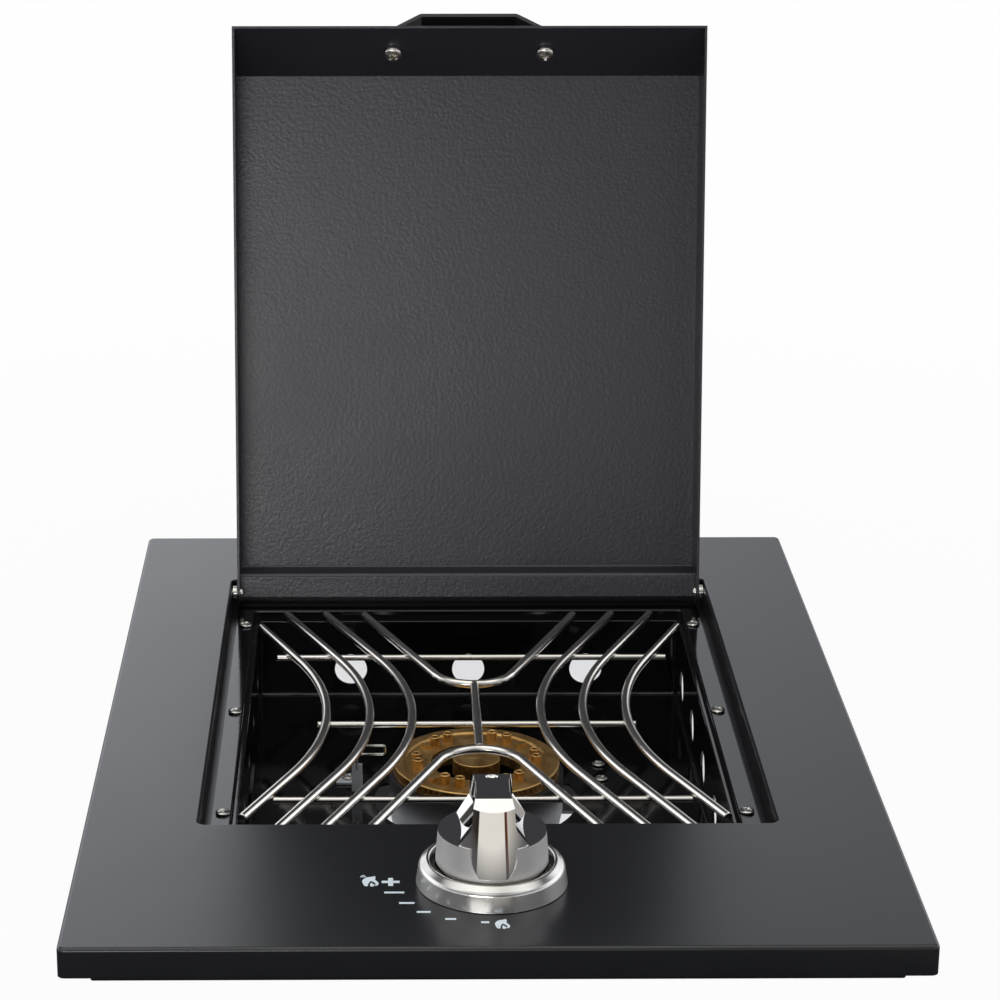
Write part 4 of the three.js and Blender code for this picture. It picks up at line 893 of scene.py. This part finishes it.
def bezel_mesh():
    profile = [(30.6, 0.3), (30.5, 0.9)]
    profile += arc((26.6, 6.1), 3.1, 8.5, 60, 8) + arc((26.1, 8.9), 1.2, 45, 180, 8)
    profile += [(24.6, 7.6), (24.6, 0.3), (25.4, 0.3), (25.4, 7.4), (26.2, 7.9),
                (27.6, 7.3), (28.6, 5.8), (29.4, 0.3)]
    return lathe(profile, 160)


def add_knob():
    at = Matrix.Translation(KNOB_AT)
    piece("knob_shell", placed(knob_mesh(), at), "chrome", "turning", ["knob"], sharp=18)
    piece("bezel_ring", placed(bezel_mesh(), at), "satin_chrome", "cooktop",
          ["knob_bezel"])


# Print marks round the knob, a thin layer of ink on the plate

def ink(name, outlines):
    meshes = [prism(outline, 0.0, INK) for outline in outlines]
    piece(name, joined(meshes), "print_pale", "cooktop")


FLAME = [[(-3.4, 0.3), (-2.8, 2.1), (-1.7, 3.6), (-0.3, 4.0), (0.9, 4.4), (1.8, 4.9),
          (2.0, 3.0), (1.8, 1.5), (2.6, 0.0), (3.3, -1.5), (3.1, -3.0), (2.3, -4.1),
          (1.8, -3.9), (2.2, -2.4), (1.6, -0.9), (0.7, 0.0), (0.2, 0.6), (-0.4, -0.6),
          (-0.9, -2.1), (-1.1, -4.1), (-1.8, -4.4), (-2.6, -3.6), (-3.1, -1.8)],
         [(-0.2, -4.1), (-0.1, -2.4), (0.4, -1.0), (0.7, -1.8), (0.9, -3.0), (1.3, -2.1),
          (1.7, -3.3), (1.2, -4.4), (0.4, -4.7)]]


def flame(x, y, size):
    """A leaning flame with a smaller one inside it."""
    return [[(x + u * size, y + v * size) for u, v in leaf] for leaf in FLAME]


def add_marks():
    ink("mark_high", flame(-49.4, 58, 1.0))
    arm, half = 3.6, 1.0
    cross = [(arm, half), (half, half), (half, arm), (-half, arm), (-half, half),
             (-arm, half)]
    cross += [(-u, -v) for u, v in cross]
    ink("mark_plus", [[(u - 41.3, v + 57.5) for u, v in cross]])
    ink("mark_spark", [bar(-52.4, 62.2, 2.4, 0.6), bar(-52.4, 63.4, 1.4, 0.5)])
    dashes = [(-39.9, 47.9, 8), (-35, 38.5, 6.1), (-28.4, 30.6, 5.5), (-17.9, 24.4, 4.3),
              (-4.5, 21.5, 3.2)]
    ink("mark_steps", [bar(x, y, width, 1.5) for x, y, width in dashes])
    ink("mark_low", flame(2.2, 19.9, 0.88))


# Build

piece("cooktop_sheet", plate_mesh(), "plate_black", "cooktop", ["hob_plate"])
piece("tray_pressing", tray_mesh(), "tray_black", "cooktop", ["burner_tray"])
piece("lid_pressing", lid_mesh(), "lid_grey", "lid_leaf", ["lid"])
piece("handle_strip", handle_mesh(), "handle_black", "lid_leaf", ["lid_handle"])
add_hinges()
add_screws()
add_support()
add_burner()
add_igniter()
add_knob()
add_marks()

# CAD nodes that the looks keep as they are, with a finish for each
KEPT = {"mixing_tube": "plated", "burner_strap": "plate_black", "valve_body": "burner_brass",
        "valve_screw_left": "plated", "valve_screw_right": "plated",
        "valve_plunger": "plated", "valve_stem": "plated", "valve_spring": "spring_steel",
        "ignition_switch": "black_plastic", "supply_pipe": "pipe_copper",
        "gas_nozzle": "burner_brass", "gas_inlet": "burner_brass"}
for name, finish in KEPT.items():
    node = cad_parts[name]
    node.data.materials.clear()
    node.data.materials.append(FINISH[finish])


# Stage: a floor at the plate's foot, pale further off and painted darker close to the plate as
# painted shade, open below the burner, and a studio round it

def stage_floor():
    f = FLOOR
    faces = [(i, (i + 1) % 4, 4 + (i + 1) % 4, 4 + i) for i in range(4)]
    mesh = bpy.data.meshes.new("floor")
    points = (bar(0, 0, f["size"], f["size"])
              + bar(0, f["mid_y"], f["width"], f["depth"]))
    mesh.from_pydata([(x, y, 0) for x, y in points], [], faces)
    material = bpy.data.materials.new("floor_paper")
    tree = cleared(material)
    where = add(tree, "ShaderNodeTexCoord")
    centred = add(tree, "ShaderNodeMapping", {"Location": (0, -f["mid_y"], 0)},
                  {"Vector": (where, "Object")})
    away = add(tree, "ShaderNodeVectorMath", {"operation": "LENGTH"},
               {"Vector": (centred, "Vector")})
    # Painted shade: the paper is darker close to the plate, standing in for shade at its foot
    # and darkening what the skirt and knob mirror
    tone = add(tree, "ShaderNodeValToRGB", {"stops": [(0.3, "#4a4a4c"), (0.9, "#f4f4f4")]},
               {"Fac": (away, "Value")})
    paper = add(tree, "ShaderNodeBsdfPrincipled", {"Roughness": 0.9},
                {"Base Color": (tone, "Color")})
    # Mirrors see the paper only close by. Further off it glows by bearing: dark on the
    # left, a white sheet ahead, a brown edge and grey on the right
    apart = add(tree, "ShaderNodeMapping", {"Location": (0, -0.05, 0)},
                {"Vector": (where, "Object")})
    parts = add(tree, "ShaderNodeSeparateXYZ", {}, {"Vector": (apart, "Vector")})
    ahead = add(tree, "ShaderNodeMath", {"operation": "MULTIPLY", 1: -1.0},
                {0: (parts, "Y")})
    bearing = add(tree, "ShaderNodeMath", {"operation": "ARCTAN2"},
                  {0: (parts, "X"), 1: (ahead, "Value")})
    turn = add(tree, "ShaderNodeMapRange",
               {"From Min": -math.pi / 2, "From Max": math.pi / 2},
               {"Value": (bearing, "Value")})
    sheet = add(tree, "ShaderNodeValToRGB",
                {"stops": [(0.2, "#4a4644"), (0.322, "#2c2422"), (0.328, "#fdf9f2"),
                           (0.635, "#fdf9f2"), (0.641, "#3a2018"), (0.668, "#7a4630"),
                           (0.674, "#d8d4cc"), (0.8, "#b0aca6")]},
                {"Fac": (turn, "Result")})
    far_off = add(tree, "ShaderNodeMapRange",
                  {"From Min": f["glow_from"], "From Max": f["glow_full"]},
                  {"Value": (away, "Value")})
    glow = add(tree, "ShaderNodeEmission", {"Strength": 1.0}, {"Color": (sheet, "Color")})
    rays = add(tree, "ShaderNodeLightPath")
    mirrored = add(tree, "ShaderNodeMath", {"operation": "MULTIPLY"},
                   {0: (rays, "Is Glossy Ray"), 1: (far_off, "Result")})
    ground = add(tree, "ShaderNodeMixShader", {},
                 {"Fac": (mirrored, "Value"), 1: (paper, "BSDF"), 2: (glow, "Emission")})
    # The eye sees it almost white, with a little of the object's shadow and of the painted
    # shade close to the plate
    white = add(tree, "ShaderNodeEmission", {"Color": "#ffffff", "Strength": 1.0})
    seen = add(tree, "ShaderNodeMath", {"operation": "MULTIPLY", 1: f["white"]},
               {0: (rays, "Is Camera Ray")})
    mixed = add(tree, "ShaderNodeMixShader", {},
                {"Fac": (seen, "Value"), 1: (ground, "Shader"), 2: (white, "Emission")})
    add(tree, "ShaderNodeOutputMaterial", {}, {"Surface": (mixed, "Shader")})
    mesh.materials.append(material)
    floor = linked("floor", mesh)


def lamp(name, at, aim, size, power):
    data = bpy.data.lights.new(name, "AREA")
    data.shape = "RECTANGLE"
    data.size, data.size_y = size
    data.energy = power
    item = linked(name, data)
    item.location = at
    item.rotation_euler = (Vector(aim) - Vector(at)).to_track_quat("-Z", "Y").to_euler()


def studio():
    """A white backdrop low behind the product, a dark room above it, a grey one in front
    and a bright ceiling. Ramps run from straight down (0) to straight up (1)."""
    world = bpy.data.worlds.new("studio")
    bpy.context.scene.world = world
    tree = cleared(world)
    where = add(tree, "ShaderNodeTexCoord")
    parts = add(tree, "ShaderNodeSeparateXYZ", {}, {"Vector": (where, "Generated")})
    height = add(tree, "ShaderNodeMapRange", {"From Min": -1.0, "From Max": 1.0},
                 {"Value": (parts, "Z")})
    behind = add(tree, "ShaderNodeValToRGB",
                 {"stops": [(0.5, "#f8faff"), (0.73, "#f4f7fd"), (0.82, "#2c2c2e"),
                            (0.9, "#38383a"), (0.96, "#cfcfcc")]},
                 {"Fac": (height, "Result")})
    before = add(tree, "ShaderNodeValToRGB",
                 {"stops": [(0.48, "#fafcff"), (0.53, "#f0f2f6"), (0.58, "#76777c"),
                            (0.76, "#86878c"), (0.86, "#e4e6e8"), (0.97, "#cfcfcc")]},
                 {"Fac": (height, "Result")})
    side = add(tree, "ShaderNodeMapRange", {"From Min": -0.25, "From Max": 0.25},
               {"Value": (parts, "Y")})
    wall = add(tree, "ShaderNodeMix", {"data_type": "RGBA"},
               {0: (side, "Result"), 6: (before, "Color"), 7: (behind, "Color")})
    # The room's strength from left (0) to right (1), weakest right of the middle
    across = add(tree, "ShaderNodeMapRange", {"From Min": -1.0, "From Max": 1.0},
                 {"Value": (parts, "X")})
    fall = add(tree, "ShaderNodeValToRGB",
               {"stops": [(0.12, "#ffffff"), (0.25, "#d0d0d0"), (0.42, "#f0f0f0"),
                          (0.6, "#979797"), (0.72, "#c8c8c8"), (0.85, "#f4f4f4")]},
               {"Fac": (across, "Result")})
    power = add(tree, "ShaderNodeMapRange", {"To Max": ROOM_POWER},
                {"Value": (fall, "Color")})
    room = add(tree, "ShaderNodeBackground", {},
               {"Color": (wall, 2), "Strength": (power, "Result")})
    # The eye sees white, and a shaded backdrop through the vents, below the floor's level
    shade = add(tree, "ShaderNodeValToRGB", {"stops": [(0.49, "#dedee0"), (0.5, "#ffffff")]},
                {"Fac": (height, "Result")})
    white = add(tree, "ShaderNodeBackground", {"Strength": 1.0}, {"Color": (shade, "Color")})
    rays = add(tree, "ShaderNodeLightPath")
    mixed = add(tree, "ShaderNodeMixShader", {},
                {"Fac": (rays, "Is Camera Ray"), 1: (room, "Background"),
                 2: (white, "Background")})
    add(tree, "ShaderNodeOutputWorld", {}, {"Surface": (mixed, "Shader")})
    lamp("front_softbox", (-0.45, -1.25, 0.21), (0, 0.42, 0.15), (0.7, 0.24), 4)
    lamp("top_softbox", (0.0, 0.1, 1.4), (0, 0.2, 0), (2.5, 1.0), 5.5)


stage_floor()
studio()

camera = linked("camera", bpy.data.cameras.new("camera"))
camera.location = CAMERA["at"]
camera.rotation_euler = (math.radians(90 - CAMERA["down"]), 0, math.radians(CAMERA["turn"]))
camera.data.sensor_width = CAMERA["sensor"]
camera.data.lens = CAMERA["lens"]
camera.data.shift_x, camera.data.shift_y = CAMERA["shift"]
camera.data.clip_end = CAMERA["far"]
bpy.context.scene.camera = camera
bpy.context.scene.view_settings.view_transform = "Standard"
